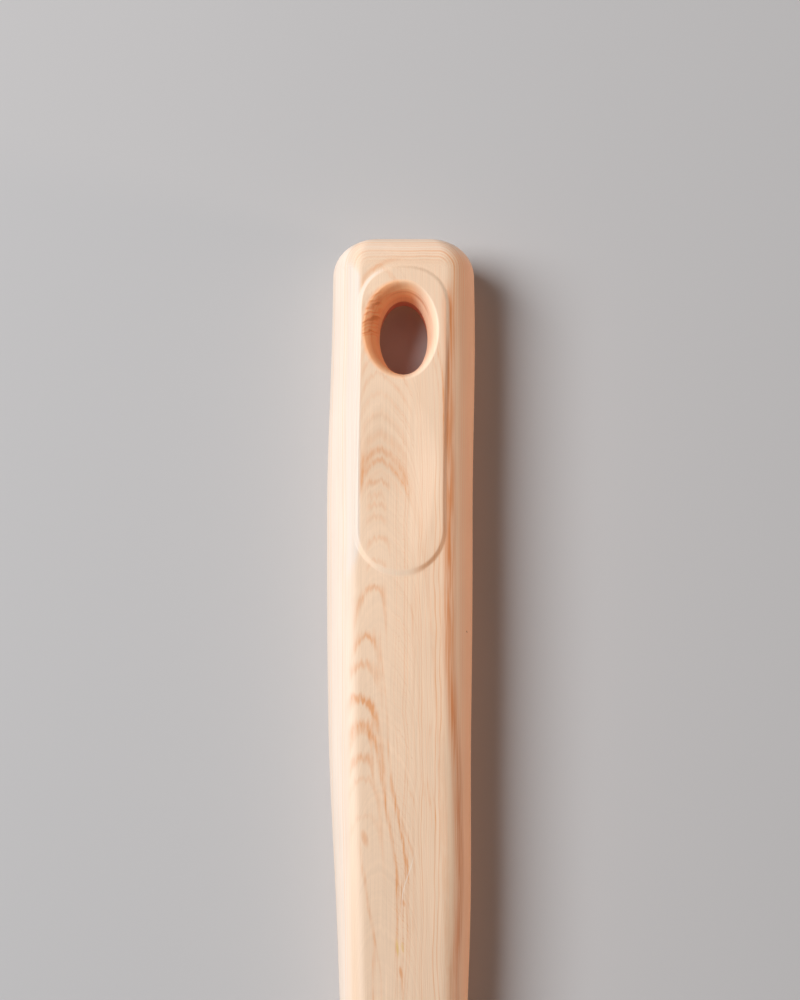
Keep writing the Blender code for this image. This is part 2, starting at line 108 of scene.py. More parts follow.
def buildPiece(name, points, quads, node, fields=None, sharpAngle=50):
    # faces that name a vertex twice become triangles, vertices that no face names are left out, and edges
    # that turn by more than the sharp angle, in degrees, stay sharp
    quads = quads.reshape(-1, 4)
    pinched = (quads == np.roll(quads, -1, axis=1)).any(axis=1)
    halves = np.concatenate([quads[pinched][:, [0, 1, 2]], quads[pinched][:, [0, 2, 3]]])
    ordered = np.sort(halves, axis=1)
    halves = halves[(np.diff(ordered, axis=1) > 0).all(axis=1)]
    corners = np.concatenate([quads[~pinched].ravel(), halves.ravel()])
    sizes = np.concatenate([np.full((~pinched).sum(), 4), np.full(len(halves), 3)])
    used, corners = np.unique(corners, return_inverse=True)
    mesh = bpy.data.meshes.new(name)
    mesh.vertices.add(len(used))
    mesh.vertices.foreach_set("co", (points[used] * metre).astype(np.float32).ravel())
    mesh.loops.add(len(corners))
    mesh.loops.foreach_set("vertex_index", corners.astype(np.int32).ravel())
    mesh.polygons.add(len(sizes))
    mesh.polygons.foreach_set("loop_start", (np.cumsum(sizes) - sizes).astype(np.int32))
    for fieldName, values in (fields or {}).items():
        field = mesh.attributes.new(fieldName, "FLOAT_VECTOR", "POINT")
        field.data.foreach_set("vector", values[used].astype(np.float32).ravel())
    mesh.update(calc_edges=True)
    mesh.shade_smooth()
    mesh.set_sharp_from_angle(angle=np.radians(sharpAngle))
    piece = bpy.data.objects.new(name, mesh)
    bpy.context.scene.collection.objects.link(piece)
    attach(piece, "root")
    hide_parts(node)
    print(name, "has", len(used), "vertices and", len(sizes), "faces")
    return piece


# Handle skin

handle = {
    "length": 198.0,
    "widestStation": 47.0,
    "halfWidth": 13.0,
    "endLoss": 0.4,
    "neckLoss": 5.3,
    "sideBow": 0.7,
    "bowStations": (12.0, 50.0, 86.0, 126.0),
    "endCorner": 6.2,
    "endEdge": 4.5,
    "height": 16.0,
    "topDrop": 2.7,
    "neckRise": 0.8,
    "riseStations": (130.0, 200.0, 215.0, 300.0),
    "crownHalf": 7.35,
    "shoulderRadius": 4.2,
    "shoulderTurn": np.radians(48),
    "wall": 2.0,
    "cavityStart": 33.0,
    "mouthEdge": 0.4,
    "filmShiftBelow": 45.0,
}
pad = {
    "start": 6.15,
    "end": 61.45,
    "half": 7.85,
    "height": 0.5,
    "backSquareness": 2.35,
    "rampWidth": 0.8,
    "rampWidthAtCorner": 1.0,
    "rampWidthAtFront": 1.5,
    "cornerRate": 1.4,
    "frontStart": 0.75,
    "bowShare": 0.92,
    "dishStation": 43.5,
    "dishMiddle": -0.6,
    "dishHalfWidth": 7.0,
    "dishHalfLength": 15.0,
    "dishDepth": 0.6,
}
net = {
    "sideSteps": 12,
    "shoulderSteps": 10,
    "crownSteps": 36,
    "endRings": 31,
    "holeEnd": 30.0,
    "padEnd": 66.0,
    "ringCounts": (64, 73, 89),
    "cavityRings": 14,
    "capSteps": 7,
    "blockStart": 3.6,
    "blockColumn": 17,
    "skirtPower": 0.7,
    "loops": {"skirt": 8, "ramp": 10, "padTop": 40, "funnel": 26, "throat": 6, "back": 8, "underside": 12},
}
hole = {
    "station": 17.6,
    "throatHalfWidth": 4.3,
    "throatHalfLength": 6.9,
    "throatTop": 8.6,
    "flareLeft": 2.75,
    "flareRight": 2.0,
    "flareAlong": 2.1,
    "lastTurn": np.radians(30),
    "leftCut": np.radians(10),
    "backFlareAcross": 2.4,
    "backFlareAlong": 3.0,
    "backFlareHeight": 6.4,
}


def bottomLine(station):
    # rises by a smooth step towards the neck and comes down by another along the blade
    start, full, eases, ends = handle["riseStations"]
    return handle["neckRise"] * (between(station, start, full) - between(station, eases, ends))


def topLine(station):
    # flat up to the widest station, then falling by the square of the share of the way to the mouth
    past = np.maximum(0.0, station - handle["widestStation"])
    return handle["height"] - handle["topDrop"] * (past / (handle["length"] - handle["widestStation"]))**2


def sideBow(station):
    # out by a smooth step beyond the hanging end, and back by another towards the neck
    start, full, eases, ends = handle["bowStations"]
    return handle["sideBow"] * (between(station, start, full) - between(station, eases, ends))


def straightHalf(station, side):
    # half width on one side without the end's round corners: squares either side of the widest station,
    # with the left side bowed out and the right side as much flatter
    before = np.maximum(0.0, handle["widestStation"] - station) / handle["widestStation"]
    past = np.maximum(0.0, station - handle["widestStation"]) / (handle["length"] - handle["widestStation"])
    losses = handle["endLoss"] * before**2 + handle["neckLoss"] * past**2
    return handle["halfWidth"] - losses - side * sideBow(station)


def handleHalf(station, side):
    # the straight half width less the inset of the end's round corner
    return straightHalf(station, side) - cornerInset(station, handle["endCorner"])


# the side is an arc of an ellipse, of this half width and height, that runs on from the shoulder's circle
shoulderSin, shoulderCos = np.sin(handle["shoulderTurn"]), np.cos(handle["shoulderTurn"])
shoulderOut = handle["crownHalf"] + handle["shoulderRadius"] * shoulderSin
shoulderDown = handle["shoulderRadius"] * (1 - shoulderCos)
sideWidth = (handle["halfWidth"] - shoulderOut) / (1 - shoulderSin)
sideHeight = (handle["height"] / 2 - shoulderDown) / shoulderCos


def quarterCurve():
    # from the side up to the crown's edge: (half width - w(1 - sin t), h cos t) on the side, then
    # (crown + r sin t, half height - r(1 - cos t)) on the shoulder; the arc is the length from the middle
    side = np.linspace(quarterTurn, handle["shoulderTurn"], net["sideSteps"] + 1)
    shoulder = np.linspace(handle["shoulderTurn"], 0, net["shoulderSteps"] + 1)[1:]
    radius, crown = handle["shoulderRadius"], handle["crownHalf"]
    sideX = handle["halfWidth"] - sideWidth * (1 - np.sin(side))
    x = np.concatenate([sideX, crown + radius * np.sin(shoulder)])
    z = np.concatenate([sideHeight * np.cos(side), handle["height"] / 2 - radius * (1 - np.cos(shoulder))])
    sideArc = crown + radius * handle["shoulderTurn"] + sideWidth * (side - handle["shoulderTurn"])
    arc = np.concatenate([sideArc, crown + radius * shoulder])
    z[0] = 0.0
    return x, z, arc


def ringShares():
    # the whole section as shares of its half width and half height, from the right side over the top and
    # back below, and its arc length
    x, z, arc = quarterCurve()
    crown = np.linspace(handle["crownHalf"], -handle["crownHalf"], net["crownSteps"] + 1)[1:-1]
    upperX = np.concatenate([x, crown, -x[::-1]])
    upperZ = np.concatenate([z, np.full(len(crown), handle["height"] / 2), z[::-1]])
    upperArc = np.concatenate([arc, crown, -arc[::-1]])
    ringX = np.concatenate([upperX[:-1], -upperX[:-1]]) / handle["halfWidth"]
    ringZ = np.concatenate([upperZ[:-1], -upperZ[:-1]]) / (handle["height"] / 2)
    ringArc = np.concatenate([upperArc[:-1], -upperArc[:-1]])
    return ringX, ringZ, ringArc


def heights(station, inset=0.0):
    # low and high edge of the section, both drawn in by the end's rounding and by the inset
    edge = cornerInset(station, handle["endEdge"]) + inset
    return bottomLine(station) + edge, topLine(station) - edge


def sectionPoints(station, shareX, shareZ, inset=0.0):
    # shares of the half width and half height, set about the section's middle at that station
    low, high = heights(station, inset)
    x = shareX * (handleHalf(station, np.sign(shareX)) - inset)
    return framePoints(x, station, (low + high) / 2 + shareZ * (high - low) / 2)


def faceHeight(x, station, upper):
    # height of the top or the underside over a point: flat on the crown, then falling by
    # r - sqrt(r^2 - d^2) on the shoulder
    out = np.abs(x) / handleHalf(station, np.sign(x)) * handle["halfWidth"] - handle["crownHalf"]
    radius = handle["shoulderRadius"]
    fall = radius - np.sqrt(radius**2 - np.clip(out, 0, radius * 0.99)**2)
    share = 1 - fall / (handle["height"] / 2)
    low, high = heights(station)
    return (low + high) / 2 + np.where(upper, 1, -1) * share * (high - low) / 2


def endArc(station):
    # length along the surface from the end corner's station towards the end: straight at first, then the
    # edge's radius times the angle turned
    edge, corner = handle["endEdge"], handle["endCorner"]
    bend = np.arcsin(np.clip((edge - station) / edge, 0, 1))
    return np.where(station < edge, corner - edge + edge * bend, corner - station)


def filmField(across, station, upperShare):
    # where each point lies on the printed film: across, along and round the end, all in millimetres, with
    # the film shifted along the handle underneath
    along = station - handle["filmShiftBelow"] * smooth(0.5 - upperShare * 1.2)
    return np.stack(np.broadcast_arrays(across, along, endArc(station)), axis=-1)


def handleRows():
    # stations of the outer rings: by angle round the end, fine along the pad, wider apart beyond it
    end = handle["endCorner"] * (1 - np.cos(np.linspace(0, quarterTurn, net["endRings"])))
    edges = [end[-1], net["holeEnd"], net["padEnd"], handle["length"] - handle["mouthEdge"]]
    spans = zip(edges[:-1], edges[1:], net["ringCounts"])
    return np.concatenate([end] + [np.linspace(*span)[1:] for span in spans])


def throatOval(acrossMore, alongMore, turn):
    # the throat's oval made larger by two amounts: x = a cos t and station = s + b sin t
    return np.stack([(hole["throatHalfWidth"] + acrossMore) * np.cos(turn),
                     hole["station"] + (hole["throatHalfLength"] + alongMore) * np.sin(turn)], axis=-1)


def holeLoops(border, under):
    # rings from the block's border over the pad and down through the hole. Each has its points (x, station),
    # their heights, a depth, and a bump that is 1 halfway up the pad's ramp. The depth is the share of the
    # drop in the funnel, runs on to 2 down the throat and back to 0 behind it, and on the pad it is the
    # distance to the rim as a negative number of millimetres, down to -1.
    count = net["loops"]
    spine = np.clip(border[:, 1], pad["start"] + pad["half"], pad["end"] - pad["half"])
    away = np.stack([border[:, 0], border[:, 1] - spine], axis=-1)
    away /= np.linalg.norm(away, axis=1, keepdims=True)
    corner, front = smooth(away[:, 1] * pad["cornerRate"]), between(away[:, 1], pad["frontStart"], 1)
    ramp = (pad["rampWidth"] + (pad["rampWidthAtCorner"] - pad["rampWidth"]) * corner
            + (pad["rampWidthAtFront"] - pad["rampWidthAtCorner"]) * front)
    padTop = handle["height"] + pad["height"]
    power = np.where(away[:, 1] < 0, pad["backSquareness"], 2.0)
    squarer = (np.abs(away[:, 0])**power + np.abs(away[:, 1])**power)**(-1 / power)

    def stadium(offset):
        # the pad's outline moved out by the offset, its middle line following the handle's bow; its back end
        # is |x|^n + |y|^n = 1, with n a little over a circle's 2
        reach = (pad["half"] + offset) * squarer
        middle = -pad["bowShare"] * sideBow(spine)
        return np.stack([middle + away[:, 0] * reach, spine + away[:, 1] * reach], axis=-1)

    def dished(place):
        # d(1 - r^2)^1.5 inside an oval, and nothing outside it
        across = (place[:, 0] - pad["dishMiddle"]) / pad["dishHalfWidth"]
        r2 = across**2 + ((place[:, 1] - pad["dishStation"]) / pad["dishHalfLength"])**2
        return padTop - pad["dishDepth"] * np.clip(1 - r2, 0, 1)**1.5

    loops = []
    outline = stadium(ramp / 2)
    for share in evenShares(count["skirt"]):
        place = border + (outline - border) * share**net["skirtPower"]
        loops.append((place, faceHeight(place[:, 0], place[:, 1], True), -1.0, 0.0))
    for share in evenShares(count["ramp"]):
        place = stadium(ramp * (0.5 - share))
        base = faceHeight(place[:, 0], place[:, 1], True)
        loops.append((place, base + (padTop - base) * smooth(share), -1.0, np.sin(share * halfTurn)))

    centre = np.array([0.0, hole["station"]])
    inner = stadium(-ramp / 2)
    beam = inner - centre
    flare = np.where(beam[:, 0] < 0, hole["flareLeft"], hole["flareRight"])
    reachX, reachY = hole["throatHalfWidth"] + flare, hole["throatHalfLength"] + hole["flareAlong"]
    rim = beam / np.hypot(beam[:, 0] / reachX, beam[:, 1] / reachY)[:, None]
    for share in evenShares(count["padTop"]):
        place = inner + (centre + rim - inner) * share
        reach = np.linalg.norm(centre + rim - place, axis=1)
        loops.append((place, dished(place), -np.clip(reach, 0, 1), 0.0))

    turn = np.arctan2(rim[:, 1] / reachY, rim[:, 0] / reachX)
    last = hole["lastTurn"]
    first = quarterTurn - hole["leftCut"] * smooth(-np.cos(turn))
    for share in evenShares(count["funnel"]):
        # an arc from the pad, level with it except on the left, down to the crease
        bend = first + (last - first) * share
        part = (np.cos(last) - np.cos(bend)) / (np.cos(last) - np.cos(first))
        depth = (np.sin(first) - np.sin(bend)) / (np.sin(first) - np.sin(last))
        place = throatOval(flare * part, hole["flareAlong"] * part, turn)
        loops.append((place, padTop + (hole["throatTop"] - padTop) * depth, depth, 0.0))

    behind = under - centre
    backX = hole["throatHalfWidth"] + hole["backFlareAcross"]
    backY = hole["throatHalfLength"] + hole["backFlareAlong"]
    backTurn = np.arctan2(behind[:, 1] / backY, behind[:, 0] / backX)
    twist = (backTurn - turn + halfTurn) % (2 * halfTurn) - halfTurn
    for share in evenShares(count["throat"]):
        place = throatOval(0.0, 0.0, turn + twist * smooth(share))
        z = hole["throatTop"] + (hole["backFlareHeight"] - hole["throatTop"]) * share
        loops.append((place, np.full(len(turn), z), 1.0 + share, 0.0))
    for share in evenShares(count["back"]):
        out = 1 - np.cos(share * quarterTurn)
        place = throatOval(hole["backFlareAcross"] * out, hole["backFlareAlong"] * out, backTurn)
        z = hole["backFlareHeight"] * (1 - np.sin(share * quarterTurn))
        loops.append((place, np.full(len(turn), z), 2.0 * (1 - share), 0.0))
    mouth = loops[-1][0]
    for share in evenShares(count["underside"])[:-1]:
        place = mouth + (under - mouth) * share
        loops.append((place, faceHeight(place[:, 0], place[:, 1], False), -1.0, 0.0))
    return loops


def handleSkin():
    # the section carried along the handle, into the mouth and down its cavity, with the loops of the pad and
    # hole in place of a block on the top and one on the underside
    ringX, ringZ, ringArc = ringShares()
    columns = len(ringX)
    stations = handleRows()
    inward = np.linspace(handle["length"], handle["cavityStart"], net["cavityRings"])
    rings = np.concatenate([stations, [handle["length"]], inward])
    insets = np.concatenate([np.zeros(len(stations)), [handle["mouthEdge"]],
                             np.full(len(inward), handle["wall"])])
    grid = sectionPoints(rings[:, None], ringX[None, :], ringZ[None, :], insets[:, None])
    tube = np.arange(grid.shape[0] * columns).reshape(-1, columns)
    half = handleHalf(np.minimum(rings, handle["length"])[:, None], np.sign(ringX)[None, :])
    film = filmField(ringArc[None, :] * half / handle["halfWidth"], rings[:, None], ringZ[None, :])

    # the block round the pad and hole is left out of the top, and the same block below
    firstRow, lastRow = np.searchsorted(stations, [net["blockStart"], net["padEnd"]])
    firstColumn, lastColumn = net["blockColumn"], columns // 2 - net["blockColumn"]
    faces = wrapQuads(tube)
    keep = np.ones(faces.shape[:2], bool)
    keep[firstRow:lastRow, firstColumn:lastColumn] = False
    keep[firstRow:lastRow, columns - lastColumn:columns - firstColumn] = False
    down, over = lastRow - firstRow, lastColumn - firstColumn
    rows = np.concatenate([np.full(over, firstRow), np.arange(firstRow, lastRow),
                           np.full(over, lastRow), np.arange(lastRow, firstRow, -1)])
    sides = np.concatenate([np.arange(firstColumn, lastColumn), np.full(down, lastColumn),
                            np.arange(lastColumn, firstColumn, -1), np.full(down, firstColumn)])
    border, under = tube[rows, sides], tube[rows, columns - sides]
    flat = grid.reshape(-1, 3)

    def plan(numbers):
        # (x, station) of the vertices with those numbers
        return np.stack([flat[numbers, 0], totalLength / 2 - flat[numbers, 1]], axis=-1)

    loops = holeLoops(plan(border), plan(under))
    place = np.stack([loop[0] for loop in loops])
    z = np.stack([loop[1] for loop in loops])
    marks = np.array([[np.broadcast_to(mark, len(border)) for mark in loop[2:]] for loop in loops])
    loopPoints = framePoints(place[..., 0], place[..., 1], z)
    upper = np.where(z > handle["height"] / 2, 1.0, -1.0)
    loopFilm = filmField(place[..., 0], place[..., 1], upper)
    strip = len(flat) + np.arange(z.size).reshape(z.shape)
    stripFaces = wrapQuads(np.vstack([border, strip, under]))

    # flat caps close the hanging end and the inner end of the cavity
    first = len(flat) + z.size
    steps = net["capSteps"]
    endFaces, endPoints = closeRing(tube[0], flat, first, steps)
    deepFaces, deepPoints = closeRing(tube[-1], flat, first + len(endPoints), steps)
    ringFilm = film.reshape(-1, 3)
    endFilm, deepFilm = (np.tile(ringFilm[ring[:columns // 2 + 1]], (steps - 1, 1)) for ring in tube[[0, -1]])

    points = np.concatenate([flat, loopPoints.reshape(-1, 3), endPoints, deepPoints])
    quads = np.concatenate([faces[keep], stripFaces.reshape(-1, 4), endFaces[:, ::-1], deepFaces])
    films = np.concatenate([ringFilm, loopFilm.reshape(-1, 3), endFilm, deepFilm])
    well = np.tile([-1.0, 0.0, 0.0], (len(points), 1))
    well[len(flat):len(flat) + z.size, :2] = marks.transpose(0, 2, 1).reshape(-1, 2)
    fields = {"film": films, "well": well}
    return buildPiece("handleSkin", points, quads, "handle_shell", fields)


skin = handleSkin()


# Silicone head

head = {
    "start": 202.0,
    "neckHalf": 7.3,
    "neckHeight": 12.0,
    "flareStations": (208.0, 252.0),
    "bladeHalf": 29.5,
    "tipLoss": 1.8,
    "squareCorner": 8.5,
    "roundCorner": 25.0,
    "tipThickness": 1.8,
    "edgeThickness": 1.6,
    "wedgePower": 1.3,
    "columns": 144,
    "ringCounts": (11, 44, 70),
}
core = {
    "flareStations": (212.0, 246.0),
    "spineEnd": 226.0,
    "tip": 288.0,
    "tangHalf": (3.6, 1.8),
    "half": 17.0,
    "tipLoss": 2.5,
    "corner": 9.0,
    "neckHalfHeight": 2.2,
    "tipHalfHeight": 0.8,
    "gap": 0.3,
    "ringCounts": (36, 12),
    "capSteps": 5,
}


def headHalf(station, corner):
    # widens from the neck by one smooth step, narrows a little to the tip, and loses the corner's inset
    flare = between(station, *head["flareStations"])
    width = head["neckHalf"] + (head["bladeHalf"] - head["neckHalf"]) * flare
    width -= head["tipLoss"] * between(station, head["flareStations"][1], totalLength)
    return width - cornerInset(totalLength - station, corner)


def headHeight(station):
    # tip thickness plus the rest times 1 - t^power along the wedge
    share = np.clip((station - head["start"]) / (totalLength - head["start"]), 0, 1)
    fall = head["neckHeight"] - head["tipThickness"]
    return head["tipThickness"] + fall * (1 - share**head["wedgePower"])


def headMiddle(station):
    # half the height above the bottom line
    return bottomLine(station) + headHeight(station) / 2


def headRings(station, turn):
    # half thickness is a body (1 - |c|^p)^q, with p from 3 to 2 and q from 0.5 to 1 as the section goes from
    # oval to lens, and a rim sqrt(1 - c^12), both rounded off at the tip
    c = np.cos(turn)
    right, left = headHalf(station, head["squareCorner"]), headHalf(station, head["roundCorner"])
    lens = between(station, *head["flareStations"])
    edge = head["edgeThickness"] * lens
    radius = head["tipThickness"] / 2
    rounding = np.sqrt(1 - np.clip(1 - (totalLength - station) / radius, 0, 1)**2)
    body = (headHeight(station) - edge) * np.clip(1 - np.abs(c)**(3 - lens), 0, 1)**(0.5 + 0.5 * lens)
    rim = edge * np.sqrt(np.clip(1 - np.abs(c)**12, 0, 1))
    x = (right - left) / 2 + (right + left) / 2 * c
    z = headMiddle(station) + np.sign(np.sin(turn).round(9)) * (body + rim) / 2 * rounding
    return framePoints(x, station, z)


tangHeight = float(bottomLine(handle["length"]) + topLine(handle["length"])) / 2


def coreRings(station, turn, grow):
    # the core's section, sqrt|cos| by sqrt|sin|, flattening from the tang into a plate in the blade's middle
    flare = between(station, *core["flareStations"])
    halfWidth = core["tangHalf"][0] + (core["half"] - core["tangHalf"][0]) * flare
    halfWidth -= core["tipLoss"] * between(station, core["flareStations"][1], core["tip"])
    halfWidth -= cornerInset(core["tip"] - station, core["corner"])
    neck = between(station, head["start"], core["flareStations"][0])
    halfHeight = core["tangHalf"][1] + (core["neckHalfHeight"] - core["tangHalf"][1]) * neck
    thinning = between(station, core["spineEnd"], core["tip"])
    halfHeight += (core["tipHalfHeight"] - core["neckHalfHeight"]) * thinning
    middle = tangHeight + (headMiddle(station) - tangHeight) * flare
    x = signedPower(np.cos(turn).round(9), 0.5) * (halfWidth + grow)
    z = middle + signedPower(np.sin(turn).round(9), 0.5) * (halfHeight + grow)
    return framePoints(x, station + grow * (station - head["start"]) / (core["tip"] - head["start"]), z)


def siliconeHead():
    # rings of the outside from the tip, close together round its edge and corners, then rings of the room
    # for the core, from the neck in
    columns = head["columns"]
    turn = -np.linspace(0, 2 * halfTurn, columns, endpoint=False)[None, :]
    edge, corner = head["tipThickness"] / 2, head["roundCorner"]
    tipCount, cornerCount, bodyCount = head["ringCounts"]
    tip = edge * (1 - np.cos(np.linspace(0, quarterTurn, tipCount)))
    rounded = corner * (1 - np.cos(np.linspace(np.arccos(1 - edge / corner), quarterTurn, cornerCount)))
    body = np.linspace(corner, totalLength - head["start"], bodyCount)
    stations = totalLength - np.concatenate([tip, rounded[1:], body[1:]])[:, None]
    outer = headRings(stations, turn)
    innerCount, deepCount = core["ringCounts"]
    inner = np.linspace(head["start"], core["tip"] - core["corner"], innerCount)
    deep = core["tip"] - core["corner"] * (1 - np.sin(np.linspace(0, quarterTurn, deepCount)))
    cavity = coreRings(np.concatenate([inner, deep[1:]])[:, None], turn, core["gap"])
    rings = np.concatenate([outer, cavity])
    flat = rings.reshape(-1, 3)
    tube = np.arange(len(flat)).reshape(-1, columns)
    # both faces meet in one edge at the tip
    tube[0] = np.minimum(np.arange(columns), columns - np.arange(columns))
    endFaces, endPoints = closeRing(tube[-1], flat, len(flat), core["capSteps"])
    quads = np.concatenate([wrapQuads(tube).reshape(-1, 4), endFaces])
    points = np.concatenate([flat, endPoints])
    return buildPiece("siliconeHead", points, quads, "silicone_head")


headPiece = siliconeHead()


# Collar between handle and head

collar = {
    "spigotStart": 189.0,
    "start": 198.3,
    "end": 201.7,
    "edge": 0.45,
    "edgeRings": 7,
    "grooveStart": 192.4,
    "grooveWidth": 1.7,
    "grooveDepth": 1.2,
    "passageHalf": (3.9, 2.1),
    "passagePower": 0.25,
    "spigotInset": 2.3,
    "spigotEdge": 0.3,
}


def collarProfile():
    # (station, inset) pairs along the outside: the spigot with its groove, then the flange with
    # quarter-round edges
    inset, groove, edge = collar["spigotInset"], collar["spigotInset"] + collar["grooveDepth"], collar["edge"]
    near, far = collar["grooveStart"], collar["grooveStart"] + collar["grooveWidth"]
    start, bevel = collar["spigotStart"], collar["spigotEdge"]
    spigot = [(start, inset + bevel), (start + bevel, inset), (near, inset), (near, groove), (far, groove),
              (far, inset), (collar["start"], inset)]
    turn = np.linspace(0, quarterTurn, collar["edgeRings"])
    rising = np.stack([collar["start"] + edge * (1 - np.cos(turn)), edge * (1 - np.sin(turn))], axis=-1)
    falling = np.stack([collar["end"] - edge * (1 - np.cos(turn)), edge * (1 - np.sin(turn))], axis=-1)[::-1]
    return np.concatenate([spigot, rising, falling])


def neckCollar():
    # the profile carried round the handle's section, and a passage of |cos|^p by |sin|^p
    ringX, ringZ, _ = ringShares()
    profile = collarProfile()
    outer = sectionPoints(profile[:, :1], ringX[None, :], ringZ[None, :], profile[:, 1:])
    turn = np.arctan2(ringZ, ringX)[None, :]
    run = np.array([collar["end"], collar["spigotStart"]])[:, None]
    x = signedPower(np.cos(turn), collar["passagePower"]) * collar["passageHalf"][0]
    z = signedPower(np.sin(turn), collar["passagePower"]) * collar["passageHalf"][1]
    rings = np.concatenate([outer, framePoints(x, run, tangHeight + z)])
    tube = np.arange(rings.shape[0] * rings.shape[1]).reshape(rings.shape[:2])
    quads = wrapQuads(np.vstack([tube, tube[:1]]))
    points = rings.reshape(-1, 3)
    return buildPiece("neckCollar", points, quads, "neck_collar", sharpAngle=40)


collarPiece = neckCollar()


# Shader arithmetic

class Wire:
    # a node socket on which the usual operators make Math nodes
    def __init__(self, tree, socket=None):
        self.tree, self.socket = tree, socket

    def node(self, kind, settings=(), inputs=(), output=0):
        # one new node: its settings, then its input values or links, and the output asked for
        made = self.tree.nodes.new(kind)
        for name, value in dict(settings).items():
            setattr(made, name, value)
        for place, value in dict(inputs).items():
            if isinstance(value, Wire):
                self.tree.links.new(value.socket, made.inputs[place])
            else:
                made.inputs[place].default_value = value
        return Wire(self.tree, made.outputs[output])

    def math(self, operation, *values):
        # a Math node on those values
        return self.node("ShaderNodeMath", {"operation": operation}, dict(enumerate(values)))

    def __add__(self, other):
        return self.math("ADD", self, other)

    def __radd__(self, other):
        return self.math("ADD", other, self)

    def __sub__(self, other):
        return self.math("SUBTRACT", self, other)

    def __rsub__(self, other):
        return self.math("SUBTRACT", other, self)

    def __mul__(self, other):
        return self.math("MULTIPLY", self, other)

    def __rmul__(self, other):
        return self.math("MULTIPLY", other, self)

    def __truediv__(self, other):
        return self.math("DIVIDE", self, other)

    def __pow__(self, other):
        return self.math("POWER", self, other)

    def atLeast(self, other):
        return self.math("MAXIMUM", self, other)

    def atMost(self, other):
        return self.math("MINIMUM", self, other)

    def size(self):
        return self.math("ABSOLUTE", self)

    def root(self):
        return self.math("SQRT", self)

    def ease(self, low, high):
        # smooth step from 0 at low to 1 at high, and the other way round if high is the smaller
        settings = {"interpolation_type": "SMOOTHSTEP"}
        return self.node("ShaderNodeMapRange", settings, {0: self, 1: low, 2: high})

    def near(self, centre, reach):
        # 1 at the centre, easing to 0 at that reach on either side
        return (self - centre).size().ease(reach, 0)

    def parts(self):
        # the three values of a vector
        first = self.node("ShaderNodeSeparateXYZ", (), {0: self})
        return [Wire(self.tree, socket) for socket in first.socket.node.outputs]

    def times(self, factors):
        # a vector with each of its values times its own factor
        return self.node("ShaderNodeVectorMath", {"operation": "MULTIPLY"}, {0: self, 1: factors})

    def noise(self, scale, detail):
        # smooth noise of a vector, from 0 to 1 about a half
        return self.node("ShaderNodeTexNoise", (), {"Vector": self, "Scale": scale, "Detail": detail})

    def drawnNoise(self, acrossScale, alongScale, detail):
        # the same, with one scale across the tool and another along it
        return self.times((acrossScale, alongScale, acrossScale)).noise(1.0, detail)

    def lines(self, scale, detail, roughness=0.5):
        # the same noise of a single value, which makes lines across it
        return self.node("ShaderNodeTexNoise", {"noise_dimensions": "1D"},
                         {"W": self, "Scale": scale, "Detail": detail, "Roughness": roughness})

    def cells(self, scale):
        # the distance to the nearest of points scattered through space
        return self.node("ShaderNodeTexVoronoi", (), {"Vector": self, "Scale": scale}, "Distance")

    def joined(self, second, third=0.0):
        # a vector of this value and one or two more
        return self.node("ShaderNodeCombineXYZ", (), {0: self, 1: second, 2: third})

    def blend(self, first, second):
        # colours mixed by this wire's value, from all of the first at 0 to all of the second at 1
        inputs = {0: self, 6: paint(first), 7: paint(second)}
        return self.node("ShaderNodeMix", {"data_type": "RGBA"}, inputs, 2)

    def shaded(self, factor):
        # a colour times a value
        return self.node("ShaderNodeVectorMath", {"operation": "SCALE"}, {0: self, "Scale": factor})


def paint(colour):
    # three numbers become a colour with full alpha, and wires stay as they are
    return colour if isinstance(colour, Wire) else (*colour, 1.0)


def newFinish(name, look):
    # a material with the look's constants, the wire to start its nodes from, and its shader
    finish = bpy.data.materials.new(name)
    finish.use_nodes = True
    shader = finish.node_tree.nodes["Principled BSDF"]
    shader.inputs["Roughness"].default_value = look["roughness"]
    shader.inputs["Specular IOR Level"].default_value = look["specular"]
    shader.inputs["Metallic"].default_value = look["metallic"]
    return finish, Wire(finish.node_tree), shader


def feed(shader, **wires):
    # links each wire to the shader's socket of that name, with spaces written as underscores
    for name, wire in wires.items():
        wire.tree.links.new(wire.socket, shader.inputs[name.replace("_", " ")])


def bumped(height, depth):
    # a normal from a height from 0 to 1, standing for that many metres
    return height.node("ShaderNodeBump", (), {"Strength": 1.0, "Distance": depth, "Height": height})


def objectPlace(start):
    # object coordinates in millimetres
    return start.node("ShaderNodeTexCoord", (), (), "Object").times((1000.0, 1000.0, 1000.0))


# Wood-look film on the handle

